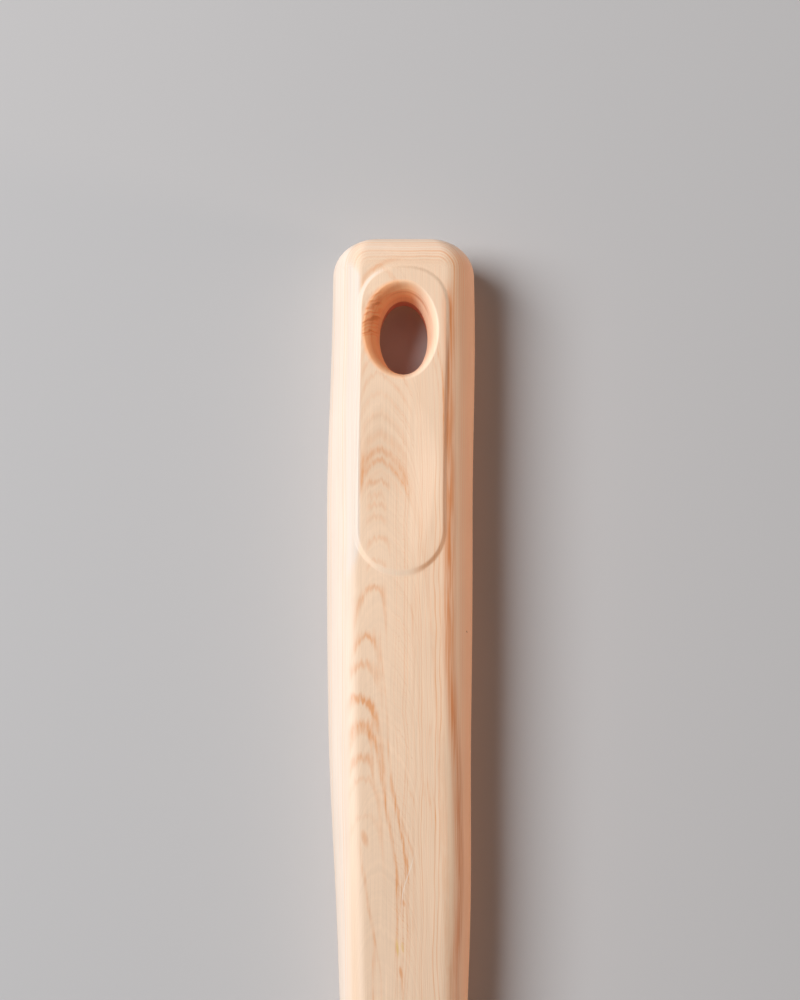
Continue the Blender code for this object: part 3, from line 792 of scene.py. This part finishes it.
wood = {
    "base": (0.895, 0.648, 0.462),
    "line": (0.80, 0.38, 0.175),
    "streak": (0.70, 0.25, 0.085),
    # paleHighlight: a painted highlight and sheen, pale cream, for the left flank, the left of the pad's ramp
    # and the hanging end's edge
    "paleHighlight": (0.82, 0.69, 0.59),
    # warmShade: painted shade, a saturated warm orange, for the right flank that faces away from the light
    "warmShade": (0.99, 0.52, 0.305),
    # rampAndRimHighlight: painted light on the pad's ramp at its back right and front left, and a painted
    # highlight on the funnel's lit right rim
    "rampAndRimHighlight": (1.0, 0.76, 0.57),
    # well and wellDeepShade: painted shade, warm orange, on the funnel walls that the light misses
    "well": (0.98, 0.44, 0.185),
    "wellDeepShade": (0.72, 0.32, 0.15),
    "wellLine": (0.58, 0.19, 0.06),
    "hatchLine": (0.70, 0.23, 0.065),
    # wellGlow, rimGlow and throatGlow are emitted colours: painted bounce light glowing from the shaded
    # funnel walls, the upper rim and the throat
    "wellGlow": (0.11, 0.045, 0.02),
    "rimGlow": (0.20, 0.13, 0.065),
    # throat: painted shade, dark brown, for the throat wall below the funnel's crease
    "throat": (0.50, 0.15, 0.08),
    "throatGlow": (0.05, 0.010, 0.006),
    "gold": (0.80, 0.52, 0.16),
    "speck": (0.30, 0.13, 0.06),
    "scratch": (0.96, 0.86, 0.76),
    "roughness": 0.46,
    "specular": 0.5,
    "metallic": 0.0,
    "bump": 0.00002,
    "lightSide": (0.97, 0.26),
    "holeRatio": 0.62,
    "hatchLean": 0.62,
    "hatchWidth": 1.45,
    "axis": -4.2,
    "wideArcs": (  # station, strength, thickness
        (6.0, 0.35, 0.7), (10.5, 0.3, 0.6), (13.5, 0.4, 0.6), (16.0, 0.35, 0.6), (19.0, 0.4, 0.6),
        (22.0, 0.35, 0.6), (25.5, 0.35, 0.6), (29.0, 0.2, 0.7), (32.7, 0.22, 0.9), (36.3, 0.30, 1.3),
        (39.05, 0.75, 1.15), (41.0, 0.65, 0.85), (43.2, 0.15, 0.8), (148.0, 0.45, 0.8), (155.0, 0.55, 0.9),
        (163.0, 0.4, 0.8), (172.0, 0.55, 0.9), (184.0, 0.45, 0.8)),
    "narrowArcs": (  # station, middle, steepness, strength, thickness, length
        (44.8, -4.6, 0.010, 0.55, 0.75, 2.2), (47.2, -4.8, 0.03, 0.3, 0.8, 1.2),
        (48.9, -4.7, 0.03, 0.35, 0.75, 1.6), (51.2, -4.7, 0.03, 0.32, 0.9, 1.8),
        (55.2, -4.3, 0.05, 0.4, 0.8, 2.6), (59.3, -4.6, 0.08, 0.35, 0.8, 1.8),
        (63.85, -5.05, 0.26, 0.65, 0.8, 9.0), (72.4, -6.5, 0.10, 0.55, 1.3, 2.6),
        (72.6, -6.3, 0.20, 0.3, 0.7, 18.0), (77.4, -7.15, 0.02, 0.65, 1.2, 5.0),
        (83.5, -8.1, 0.002, 1.05, 1.15, 6.0), (84.2, -7.6, 0.02, 0.45, 0.8, 22.0),
        (88.4, -7.5, 0.07, 1.0, 1.5, 3.6), (89.6, -7.0, 0.03, 0.45, 0.9, 16.0),
        (93.9, -7.3, 0.06, 0.75, 1.2, 4.0), (97.5, -7.0, 0.05, 0.35, 0.8, 14.0),
        (104.0, -6.6, 0.05, 0.22, 0.8, 14.0)),
    "slants": (  # across, shift, start, stop, end, strength, half width
        (-5.4, 4.5, 84.0, 120.0, 122.0, 0.75, 0.50), (-2.9, 4.2, 88.0, 122.0, 119.0, 0.65, 0.42),
        (-2.4, 2.8, 96.0, 114.0, 118.0, 0.65, 0.42), (-1.9, 3.8, 98.0, 114.0, 117.0, 0.50, 0.36),
        (0.1, 2.2, 95.0, 105.0, 107.0, 0.40, 0.32), (-7.7, 2.5, 107.0, 128.0, 144.0, 0.50, 0.50),
        (-6.3, 2.4, 117.0, 134.0, 144.0, 0.35, 0.42), (0.1, -1.4, 112.0, 127.0, 133.0, 0.60, 0.32),
        (-0.2, 0.0, 114.0, 116.0, 138.0, 0.60, 0.32), (3.0, 0.9, 94.0, 103.0, 106.0, 0.40, 0.28),
        (4.1, 0.8, 96.0, 106.0, 110.0, 0.40, 0.28), (5.0, 0.7, 97.0, 108.0, 112.0, 0.35, 0.28),
        (1.2, 0.3, 64.0, 70.0, 76.0, 0.50, 0.34), (2.0, 0.2, 62.0, 70.0, 80.0, 0.35, 0.28),
        (-4.2, 1.6, 70.0, 92.0, 96.0, 0.40, 0.36), (4.8, -0.4, 86.0, 92.0, 95.0, 0.40, 0.36),
        (-1.3, 0.1, 111.0, 116.0, 137.0, 0.55, 0.26), (0.9, -0.2, 104.0, 112.0, 131.0, 0.45, 0.24),
        (2.0, -0.3, 104.0, 112.0, 129.0, 0.35, 0.24), (5.5, 1.5, 16.0, 29.0, 40.0, 0.70, 0.30),
        (6.3, 0.9, 18.0, 30.0, 46.0, 0.60, 0.26), (4.6, 1.9, 16.0, 32.0, 38.0, 0.40, 0.22)),
    "scratchLine": (1.9, -2.2, 109.5, 119.0, 123.0, 0.55, 0.18),
    "spots": (  # colour, across, station, half width, half length, strength
        ("gold", -1.12, 126.9, 0.34, 1.9, 0.75), ("gold", -0.22, 126.9, 0.30, 1.2, 0.6),
        ("line", -0.51, 131.2, 0.40, 1.4, 0.95), ("line", -0.06, 119.2, 0.38, 0.9, 0.85),
        ("line", -6.8, 108.0, 0.8, 1.9, 0.6), ("speck", 12.55, 71.3, 0.30, 0.28, 0.9)),
    "endLines": (  # distance out, strength, half width
        (0.7, 0.35, 0.30), (1.3, 0.30, 0.26), (1.9, 0.55, 0.28), (2.45, 0.35, 0.24), (3.0, 0.65, 0.28),
        (3.55, 0.45, 0.24), (4.15, 0.60, 0.26), (4.7, 0.50, 0.24), (5.3, 0.55, 0.26), (6.0, 0.40, 0.28)),
    "hatch": (  # station, strength, half width
        (8.4, 0.5, 0.24), (9.0, 0.7, 0.26), (9.6, 1.0, 0.34), (10.7, 0.7, 0.24), (11.85, 1.0, 0.34),
        (12.5, 0.6, 0.24), (13.2, 0.4, 0.20), (13.9, 0.8, 0.26), (14.5, 0.5, 0.22)),
}


def wideFall(reach):
    # how far a wide arc has fallen at that distance from its middle, and the lengthening there, the root of
    # 1 + slope^2: 0.65r^1.27 + 0.00035r^5 on the right, and 0.45r^1.3 + 0.018r^4 on the left
    right, left = reach.atLeast(0.0), (-1.0 * reach).atLeast(0.0)
    fall = 0.65 * right**1.27 + 0.00035 * right**5.0 + 0.45 * left**1.3 + 0.018 * left**4.0
    slope = 0.83 * right**0.27 + 0.00175 * right**4.0 + 0.585 * left**0.3 + 0.072 * left**3.0
    return fall, (1.0 + slope * slope).root()


def narrowFall(reach, steepness):
    # the same for a narrow arc: 0.3r^2 + cr^4, with c the steepness on the right and 0.012 on the left
    square = reach * reach
    steep = reach.math("GREATER_THAN", reach, 0.0) * (steepness - 0.012) + 0.012
    rise = steep * square
    slope = reach * (0.6 + 4.0 * rise)
    return square * (0.3 + rise), (1.0 + slope * slope).root()


def arcLine(height, station, lengthening, thickness):
    # 1 on the arc, easing to 0 at its thickness, measured across the line
    return ((height - station).size() / lengthening).ease(thickness, 0.0)


def slantLine(across, along, slant):
    # 1 on a line that moves across by the shift between start and stop, fading in from the start and out
    # towards the end
    first, shift, start, stop, end, strength, half = slant
    centre = along.ease(start, stop) * shift + first
    line = across.near(centre, half) * along.ease(start, start + 4.0)
    return line * along.ease(end, end - 6.0) * strength


def spotMark(across, along, spot):
    # 1 in the middle of an oval that leans a little to the right, easing to 0 at its edge
    _, middle, station, half, length, strength = spot
    y = (along - station) / length
    x = (across - middle) / half - y * 0.5
    return (x * x + y * y).ease(1.0, -0.2) * strength


def pointField(start, name):
    # a field of the mesh, as a vector
    return start.node("ShaderNodeAttribute", {"attribute_name": name}, (), "Vector")


def woodGrain(start):
    # the film's coordinates, its noises, and the strength of the arcs and slanting lines, which are broken
    # into dashes and left out on the flanks
    across, along, endReach = pointField(start, "film").parts()
    endReach = endReach.atLeast(0.0)
    film = across.joined(along, endReach)
    slow = film.drawnNoise(0.10, 0.045, 2.0) - 0.5
    jitter = film.drawnNoise(2.2, 0.14, 1.0) - 0.5
    dashes = film.drawnNoise(1.7, 0.35, 2.0).ease(0.30, 0.66)

    fall, lengthening = wideFall(across - wood["axis"])
    ringHeight = along - fall + slow * 2.0 + jitter * 1.5
    thin = 1.0 - 0.40 * fall.ease(1.5, 9.0)
    arcs = 0.0
    for station, strength, thickness in wood["wideArcs"]:
        arcs = arcs + arcLine(ringHeight, station, lengthening, thin * thickness) * strength
    arcs = arcs * (1.0 - 0.85 * fall.ease(3.0, 9.5))
    moved = along + slow * 1.6 + jitter * 2.2
    for station, middle, steepness, strength, thickness, length in wood["narrowArcs"]:
        fall, lengthening = narrowFall(across - middle, steepness)
        fade = fall.ease(length, 0.3 * length)
        arcs = arcs + arcLine(moved - fall, station, lengthening, thickness) * fade * strength
    wavy = across + jitter * 0.7
    threads = 0.40 + 0.75 * film.drawnNoise(3.6, 0.10, 1.0).ease(0.36, 0.62)
    slants = 0.0
    for slant in wood["slants"]:
        slants = slants + slantLine(wavy, along, slant)
    beyond = along.ease(60.0, 66.0)
    flank = across.ease(7.6, 9.2) + across.ease(beyond * -1.6 - 7.6, beyond * -1.6 - 9.2)
    arcs = (arcs + slants * threads) * (0.45 + 0.65 * dashes) * (1.0 - flank)
    return film, across, along, endReach, slow, threads, ringHeight, arcs, flank


def wellLook(start, colour, across, along, slow):
    # the funnel gets painted shade, a warm orange, on the side that the light misses, with a ring round its
    # upper part and short lines on its left wall, and the throat is painted dark as shade; the pad's ramp
    # takes a painted highlight on the left
    depth, ramp, _ = pointField(start, "well").parts()
    y = (along - hole["station"]) * wood["holeRatio"]
    lightX, lightY = wood["lightSide"]
    facing = (across * lightX + y * lightY) / (across * across + y * y + 0.01).root()
    missed = facing.ease(0.50, -0.15)
    left = facing.ease(-0.2, -0.9)
    # shadeShare is painted shade: it starts a little outside the rim and is full on the walls facing away
    # from the light, with a little more deeper down on the lit side
    shadeShare = depth.ease(left * -0.55 - 0.3, left * -0.25 + 0.6) * missed
    shadeShare = shadeShare + depth.ease(0.3, 1.0) * (1.0 - missed) * 0.2
    # the strokes on the left wall lean, waver and vary in strength
    waves = across.joined(along).times((0.45, 0.6, 0.0)).noise(1.0, 1.0) - 0.5
    sweep = along + wood["hatchLean"] * across.atMost(-4.0) + slow * 1.2 + waves * 2.0
    hatch = 0.0
    for station, strength, half in wood["hatch"]:
        hatch = hatch + sweep.near(station, half * wood["hatchWidth"]) * strength
    hatch = hatch * (1.0 + waves * 1.4) * across.ease(-3.4, -4.8)
    hatch = hatch * depth.ease(-0.60, 0.0) * depth.ease(1.0, 0.55)
    ring = (depth + slow * 0.2).near(0.37, 0.11) * facing.ease(0.95, 0.45) * facing.ease(-0.95, -0.6)
    rings = (depth * 3.0 + slow * 2.0).lines(2.2, 2.0, 0.6).ease(0.50, 0.70) * depth.ease(0.05, 0.3)
    # painted shade: warm orange on the shaded walls, deeper orange further down them
    colour = (shadeShare * 0.94).blend(colour, wood["well"])
    colour = (depth.ease(0.30, 0.85) * missed * 0.80).blend(colour, wood["wellDeepShade"])
    colour = (rings * 0.45).blend(colour, wood["wellLine"])
    colour = (ring * 0.65).blend(colour, wood["wellLine"])
    colour = (hatch * 1.1).atMost(0.9).blend(colour, wood["hatchLine"])
    # painted light on the ramp's back right and front left, and a painted highlight along the funnel's lit
    # rim
    ends = across.ease(2.0, 7.0) * along.ease(26.0, 14.0) + along.ease(56.0, 60.0) * across.ease(6.5, 1.0)
    light = ramp * ends + depth.near(0.12, 0.3) * facing.ease(0.2, 0.9) * 0.8
    colour = light.blend(colour, wood["rampAndRimHighlight"])
    # painted shade: the front right of the pad's ramp, turned from the light, is tinted with the line colour
    colour = (ramp * along.ease(50.0, 56.0) * across.ease(0.5, 4.0) * 0.60).blend(colour, wood["line"])
    # painted highlight on the left of the pad's ramp
    colour = (ramp * across.ease(-2.0, -6.0) * along.ease(58.0, 52.0) * 0.9).blend(colour, wood["paleHighlight"])
    # painted shade: the throat below the crease is dark brown
    deep = depth.ease(1.0, 1.06)
    colour = deep.blend(colour, wood["throat"])
    # painted bounce light: emission on the shaded funnel walls, their upper rim and the throat
    glow = (shadeShare * missed * (1.0 - hatch * 0.5)).blend((0.0, 0.0, 0.0), wood["wellGlow"])
    glow = (depth.near(0.20, 0.38) * missed * (1.0 - left) * 0.8).blend(glow, wood["rimGlow"])
    return colour, deep.blend(glow, wood["throatGlow"])


def woodFinish():
    # line colour over the base by the sum of all lines, then the flanks' painted highlight and shade, the end
    # edge's painted highlight, the streak, the spots, the scratch and the funnel with its painted shade and
    # glow over that, and the whole shaded by noise and by painted light
    finish, start, shader = newFinish("woodLook", wood)
    film, across, along, endReach, slow, threads, ringHeight, arcs, flank = woodGrain(start)
    past = along.ease(56.0, 64.0) + along.ease(8.0, 4.0)
    # leftHighlightShare is where the left flank takes the painted highlight
    leftHighlightShare = across.ease(past * -0.6 - 7.4, past * -3.2 - 8.2)
    # rightSide is the right flank, where the painted warm shade goes and the outline lines are stronger
    rightSide = across.ease(7.8, 13.2)
    fibre = film.drawnNoise(6.5, 0.07, 2.0) - 0.5
    tone = film.drawnNoise(0.16, 0.05, 2.0) - 0.5
    softRings = ringHeight.lines(0.8, 2.0) - 0.5
    fineRings = ringHeight.lines(2.4, 2.0, 0.6).ease(0.5, 0.78)
    middleBand = across.ease(-3.2, 0.0) * across.ease(8.0, 6.2) * endReach.ease(1.0, 0.0)
    straight = (across + slow * 3.0).lines(2.5, 3.0, 0.65).ease(0.48, 0.72)
    straight = straight * (0.5 + 0.7 * threads) * (0.25 + 0.75 * along.ease(26.0, 58.0))

    # lines that follow the outline: round the hanging end and along both flanks
    sideReach = (across.size() - 6.0).atLeast(0.0)
    outline = (sideReach * sideReach + endReach * endReach).root() + slow * 1.2
    outlineLines = outline.lines(1.5, 3.0, 0.6).ease(0.47, 0.70)
    outlineShare = (endReach.ease(0.0, 2.0) + flank).atMost(1.0)
    endLines = 0.0
    for reach, strength, half in wood["endLines"]:
        endLines = endLines + outline.near(reach, half) * strength
    endLines = endLines * along.ease(24.0, 9.0) * outlineShare * (0.45 + 0.75 * across.ease(-7.0, 8.0))

    # the reddish streak down the right shoulder, a soft band with thin lines in it
    centre = 8.15 + 2.1 * along.ease(70.0, 112.0) - 1.1 * along.ease(112.0, 134.0) + slow * 1.2
    offset = across - centre
    band = offset.size().ease(1.8, 0.4) * 0.85 + offset.size().ease(0.6, 0.1) * 0.25
    streak = band * (0.35 + 0.75 * threads) * along.ease(7.0, 14.0)

    # a soft arc beyond the pad's back end, on the left
    beyondPad = (across * across + (along - 14.0) * (along - 14.0)).root() - pad["half"]
    smudge = (beyondPad + slow).near(1.5, 0.75) * across.ease(2.0, -4.0) * along.ease(11.0, 6.0)

    amount = arcs * 0.85 + fineRings * middleBand * 0.26 + straight * middleBand * 0.46 + smudge * 0.34
    amount = amount + outlineLines * outlineShare * (0.26 + 0.30 * rightSide) + endLines
    colour = amount.atMost(1.0).blend(wood["base"], wood["line"])
    # painted highlight and sheen on the left flank
    colour = (leftHighlightShare * (1.0 - 0.6 * outlineLines)).blend(colour, wood["paleHighlight"])
    # painted shade, warm orange, on the right flank
    colour = (rightSide * 0.9).blend(colour, wood["warmShade"])
    # painted highlight: the rounded hanging end's edge is made paler where it catches the light
    colour = (endReach.ease(1.0, 4.6) * (1.0 - outlineLines) * 0.45).blend(colour, wood["paleHighlight"])
    colour = (streak * 0.7).blend(colour, wood["streak"])
    for spot in wood["spots"]:
        colour = spotMark(across, along, spot).blend(colour, wood[spot[0]])
    colour = slantLine(across, along, wood["scratchLine"]).blend(colour, wood["scratch"])

    colour, glow = wellLook(start, colour, across, along, slow)
    # tone, fibre and ring noise, with painted light: brighter at the hanging end's edge; painted shade
    # darkens the left shoulder near the pad and further down, and the top and right side down the handle
    toneAndPaintedLight = 1.08 + tone * 0.14 + fibre * 0.25 + softRings * 0.10 + endReach.ease(0.8, 4.8) * 0.13
    toneAndPaintedLight = toneAndPaintedLight - across.near(-9.4, 1.8) * along.ease(100.0, 60.0) * 0.10
    toneAndPaintedLight = toneAndPaintedLight - along.ease(45.0, 150.0) * across.ease(-10.0, -7.0) * 0.10
    toneAndPaintedLight = toneAndPaintedLight - across.near(-8.4, 1.6) * along.ease(85.0, 115.0) * 0.05
    # the emission carries the funnel's painted bounce light
    shader.inputs["Emission Strength"].default_value = 1.0
    finish.cycles.emission_sampling = "NONE"
    feed(shader, Base_Color=colour.shaded(toneAndPaintedLight), Emission_Color=glow, Normal=bumped(fibre, wood["bump"]),
         Roughness=wood["roughness"] + fibre * 0.12 + tone * 0.05)
    return finish


skin.data.materials.append(woodFinish())
print("wood look made")


# Finishes of the other pieces

silicone = {
    "colours": ((0.72, 0.66, 0.56), (0.76, 0.71, 0.62)),
    "dust": (0.9, 0.88, 0.84),
    "roughness": 0.60,
    "specular": 0.4,
    "metallic": 0.0,
    "bump": 0.00002,
    "scatter": {"Weight": 0.12, "Radius": (1.0, 0.75, 0.5), "Scale": 0.0015},
}
collarPlastic = {
    "colours": ((0.58, 0.53, 0.45), (0.64, 0.59, 0.52)),
    "roughness": 0.42,
    "specular": 0.5,
    "metallic": 0.0,
    "bump": 0.00003,
}
nylon = {
    "colours": ((0.74, 0.71, 0.63), (0.80, 0.78, 0.71)),
    "fibres": (0.88, 0.87, 0.83),
    "roughness": 0.48,
    "specular": 0.5,
    "metallic": 0.0,
    "bump": 0.00002,
}
steel = {
    "colours": ((0.56, 0.56, 0.57), (0.66, 0.66, 0.66)),
    "roughness": 0.30,
    "specular": 0.5,
    "metallic": 1.0,
    "bump": 0.00001,
}
rubber = {
    "colours": ((0.50, 0.48, 0.45), (0.57, 0.55, 0.52)),
    "roughness": 0.70,
    "specular": 0.35,
    "metallic": 0.0,
    "bump": 0.00003,
}


def siliconeFinish():
    # two warm greys mixed by a cloud noise, with specks of dust where a second noise is high
    finish, start, shader = newFinish("siliconeMatte", silicone)
    for name, value in silicone["scatter"].items():
        shader.inputs[f"Subsurface {name}"].default_value = value
    place = objectPlace(start)
    cloud = place.noise(0.06, 3.0) - 0.5
    grit = place.noise(5.0, 2.0) - 0.5
    dust = place.cells(0.7).ease(0.16, 0.05) * place.noise(0.3, 1.0).ease(0.5, 0.7)
    colour = (dust * 0.35).blend((0.5 + cloud).blend(*silicone["colours"]), silicone["dust"])
    feed(shader, Base_Color=colour.shaded(1.0 + grit * 0.05), Normal=bumped(grit, silicone["bump"]),
         Roughness=silicone["roughness"] + cloud * 0.10 + grit * 0.08)
    return finish


def collarFinish():
    # two greys mixed by a cloud noise, with a fine grain drawn out along the tool
    finish, start, shader = newFinish("collarPlastic", collarPlastic)
    place = objectPlace(start)
    cloud = place.noise(0.2, 3.0) - 0.5
    grain = place.drawnNoise(9.0, 3.15, 2.0) - 0.5
    colour = (0.5 + cloud).blend(*collarPlastic["colours"])
    feed(shader, Base_Color=colour.shaded(1.0 + grain * 0.06), Normal=bumped(grain, collarPlastic["bump"]),
         Roughness=collarPlastic["roughness"] + grain * 0.12)
    return finish


def nylonFinish():
    # flow marks drawn out along the piece, with short paler fibres
    finish, start, shader = newFinish("nylonCore", nylon)
    place = objectPlace(start)
    flow = place.drawnNoise(0.7, 0.105, 3.0) - 0.5
    fibres = place.drawnNoise(6.0, 0.6, 2.0).ease(0.55, 0.75)
    colour = (fibres * 0.3).blend((0.5 + flow).blend(*nylon["colours"]), nylon["fibres"])
    feed(shader, Base_Color=colour, Roughness=nylon["roughness"] + flow * 0.2,
         Normal=bumped(fibres, nylon["bump"]))
    return finish


def steelFinish():
    # brush lines along the bar in colour, roughness and bump
    finish, start, shader = newFinish("brushedSteel", steel)
    place = objectPlace(start)
    brush = place.drawnNoise(9.0, 0.25, 3.0) - 0.5
    cloud = place.noise(0.3, 2.0) - 0.5
    feed(shader, Base_Color=(0.5 + brush).blend(*steel["colours"]), Normal=bumped(brush, steel["bump"]),
         Roughness=steel["roughness"] + brush * 0.22 + cloud * 0.08)
    return finish


def rubberFinish():
    # a bloom of two greys and a fine grit in the bump
    finish, start, shader = newFinish("sealRubber", rubber)
    place = objectPlace(start)
    bloom = place.noise(1.2, 3.0) - 0.5
    grit = place.noise(12.0, 2.0) - 0.5
    feed(shader, Base_Color=(0.5 + bloom).blend(*rubber["colours"]), Normal=bumped(grit, rubber["bump"]),
         Roughness=rubber["roughness"] + bloom * 0.15)
    return finish


def coatPieces():
    # the new surfaces and the six solids that stay get their finishes
    headPiece.data.materials.append(siliconeFinish())
    collarPiece.data.materials.append(collarFinish())
    inside = ((nylonFinish(), ("handle_core", "blade_core")), (rubberFinish(), ("collar_seal",)),
              (steelFinish(), ("tang_pin_1", "tang_pin_2", "neck_spine")))
    for finish, names in inside:
        for name in names:
            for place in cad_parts[name].material_slots:
                place.material = finish
    print("other finishes made")


coatPieces()


# Floor, lights and camera

floorLook = {
    "colour": (0.565, 0.555, 0.560),
    "roughness": 0.9,
    "specular": 0.1,
    "metallic": 0.0,
    "size": 9.0,
}
studio = {
    "worldColour": (1.0, 1.0, 1.0),
    "worldStrength": 0.095,
    "lamps": (
        {"name": "keyLight", "azimuth": 107.0, "elevation": 47.5, "distance": 1.25, "size": 0.75,
         "power": 18.0, "colour": (1.0, 1.0, 1.0)},
        {"name": "fillLight", "azimuth": -80.0, "elevation": 4.6, "distance": 1.0, "size": 0.15,
         "power": 3.6, "colour": (1.0, 0.77, 0.59)},
    ),
    "cameraAzimuth": 0.0,
    "cameraElevation": 80.0,
    "cameraDistance": 0.700,
    "target": (-0.00065, 0.10909, 0.008),
    "focalLength": 141.1,
    "sensorWidth": 36.0,
}


def aim(thing, azimuth, elevation, distance):
    # places a light or camera round the target, by degrees from -Y and degrees up, and turns it to face it
    around, above = np.radians(azimuth), np.radians(elevation)
    towards = Vector((-np.sin(around) * np.cos(above), -np.cos(around) * np.cos(above), np.sin(above)))
    thing.location = Vector(studio["target"]) + towards * distance
    thing.rotation_euler = towards.to_track_quat("Z", "Y").to_euler()
    bpy.context.scene.collection.objects.link(thing)


def setStudio():
    # a square floor, an even white surrounding, the lamps, and the camera
    scene = bpy.context.scene
    scene.view_settings.view_transform = "Standard"
    half = floorLook["size"] / 2
    mesh = bpy.data.meshes.new("floor")
    corners = [(-half, -half, 0), (half, -half, 0), (half, half, 0), (-half, half, 0)]
    mesh.from_pydata(corners, [], [(0, 1, 2, 3)])
    floor = bpy.data.objects.new("floor", mesh)
    scene.collection.objects.link(floor)
    finish, _, shader = newFinish("paleFloor", floorLook)
    shader.inputs["Base Color"].default_value = paint(floorLook["colour"])
    mesh.materials.append(finish)

    world = bpy.data.worlds.new("studioAir")
    world.use_nodes = True
    air = world.node_tree.nodes["Background"]
    air.inputs["Color"].default_value = paint(studio["worldColour"])
    air.inputs["Strength"].default_value = studio["worldStrength"]
    scene.world = world

    for lamp in studio["lamps"]:
        data = bpy.data.lights.new(lamp["name"], "AREA")
        data.energy, data.size, data.color = lamp["power"], lamp["size"], lamp["colour"]
        light = bpy.data.objects.new(lamp["name"], data)
        aim(light, lamp["azimuth"], lamp["elevation"], lamp["distance"])

    camera = bpy.data.objects.new("camera", bpy.data.cameras.new("camera"))
    aim(camera, studio["cameraAzimuth"], studio["cameraElevation"], studio["cameraDistance"])
    camera.data.lens = studio["focalLength"]
    camera.data.sensor_width = studio["sensorWidth"]
    camera.data.clip_start = 0.01
    scene.camera = camera
    print("studio set")


setStudio()
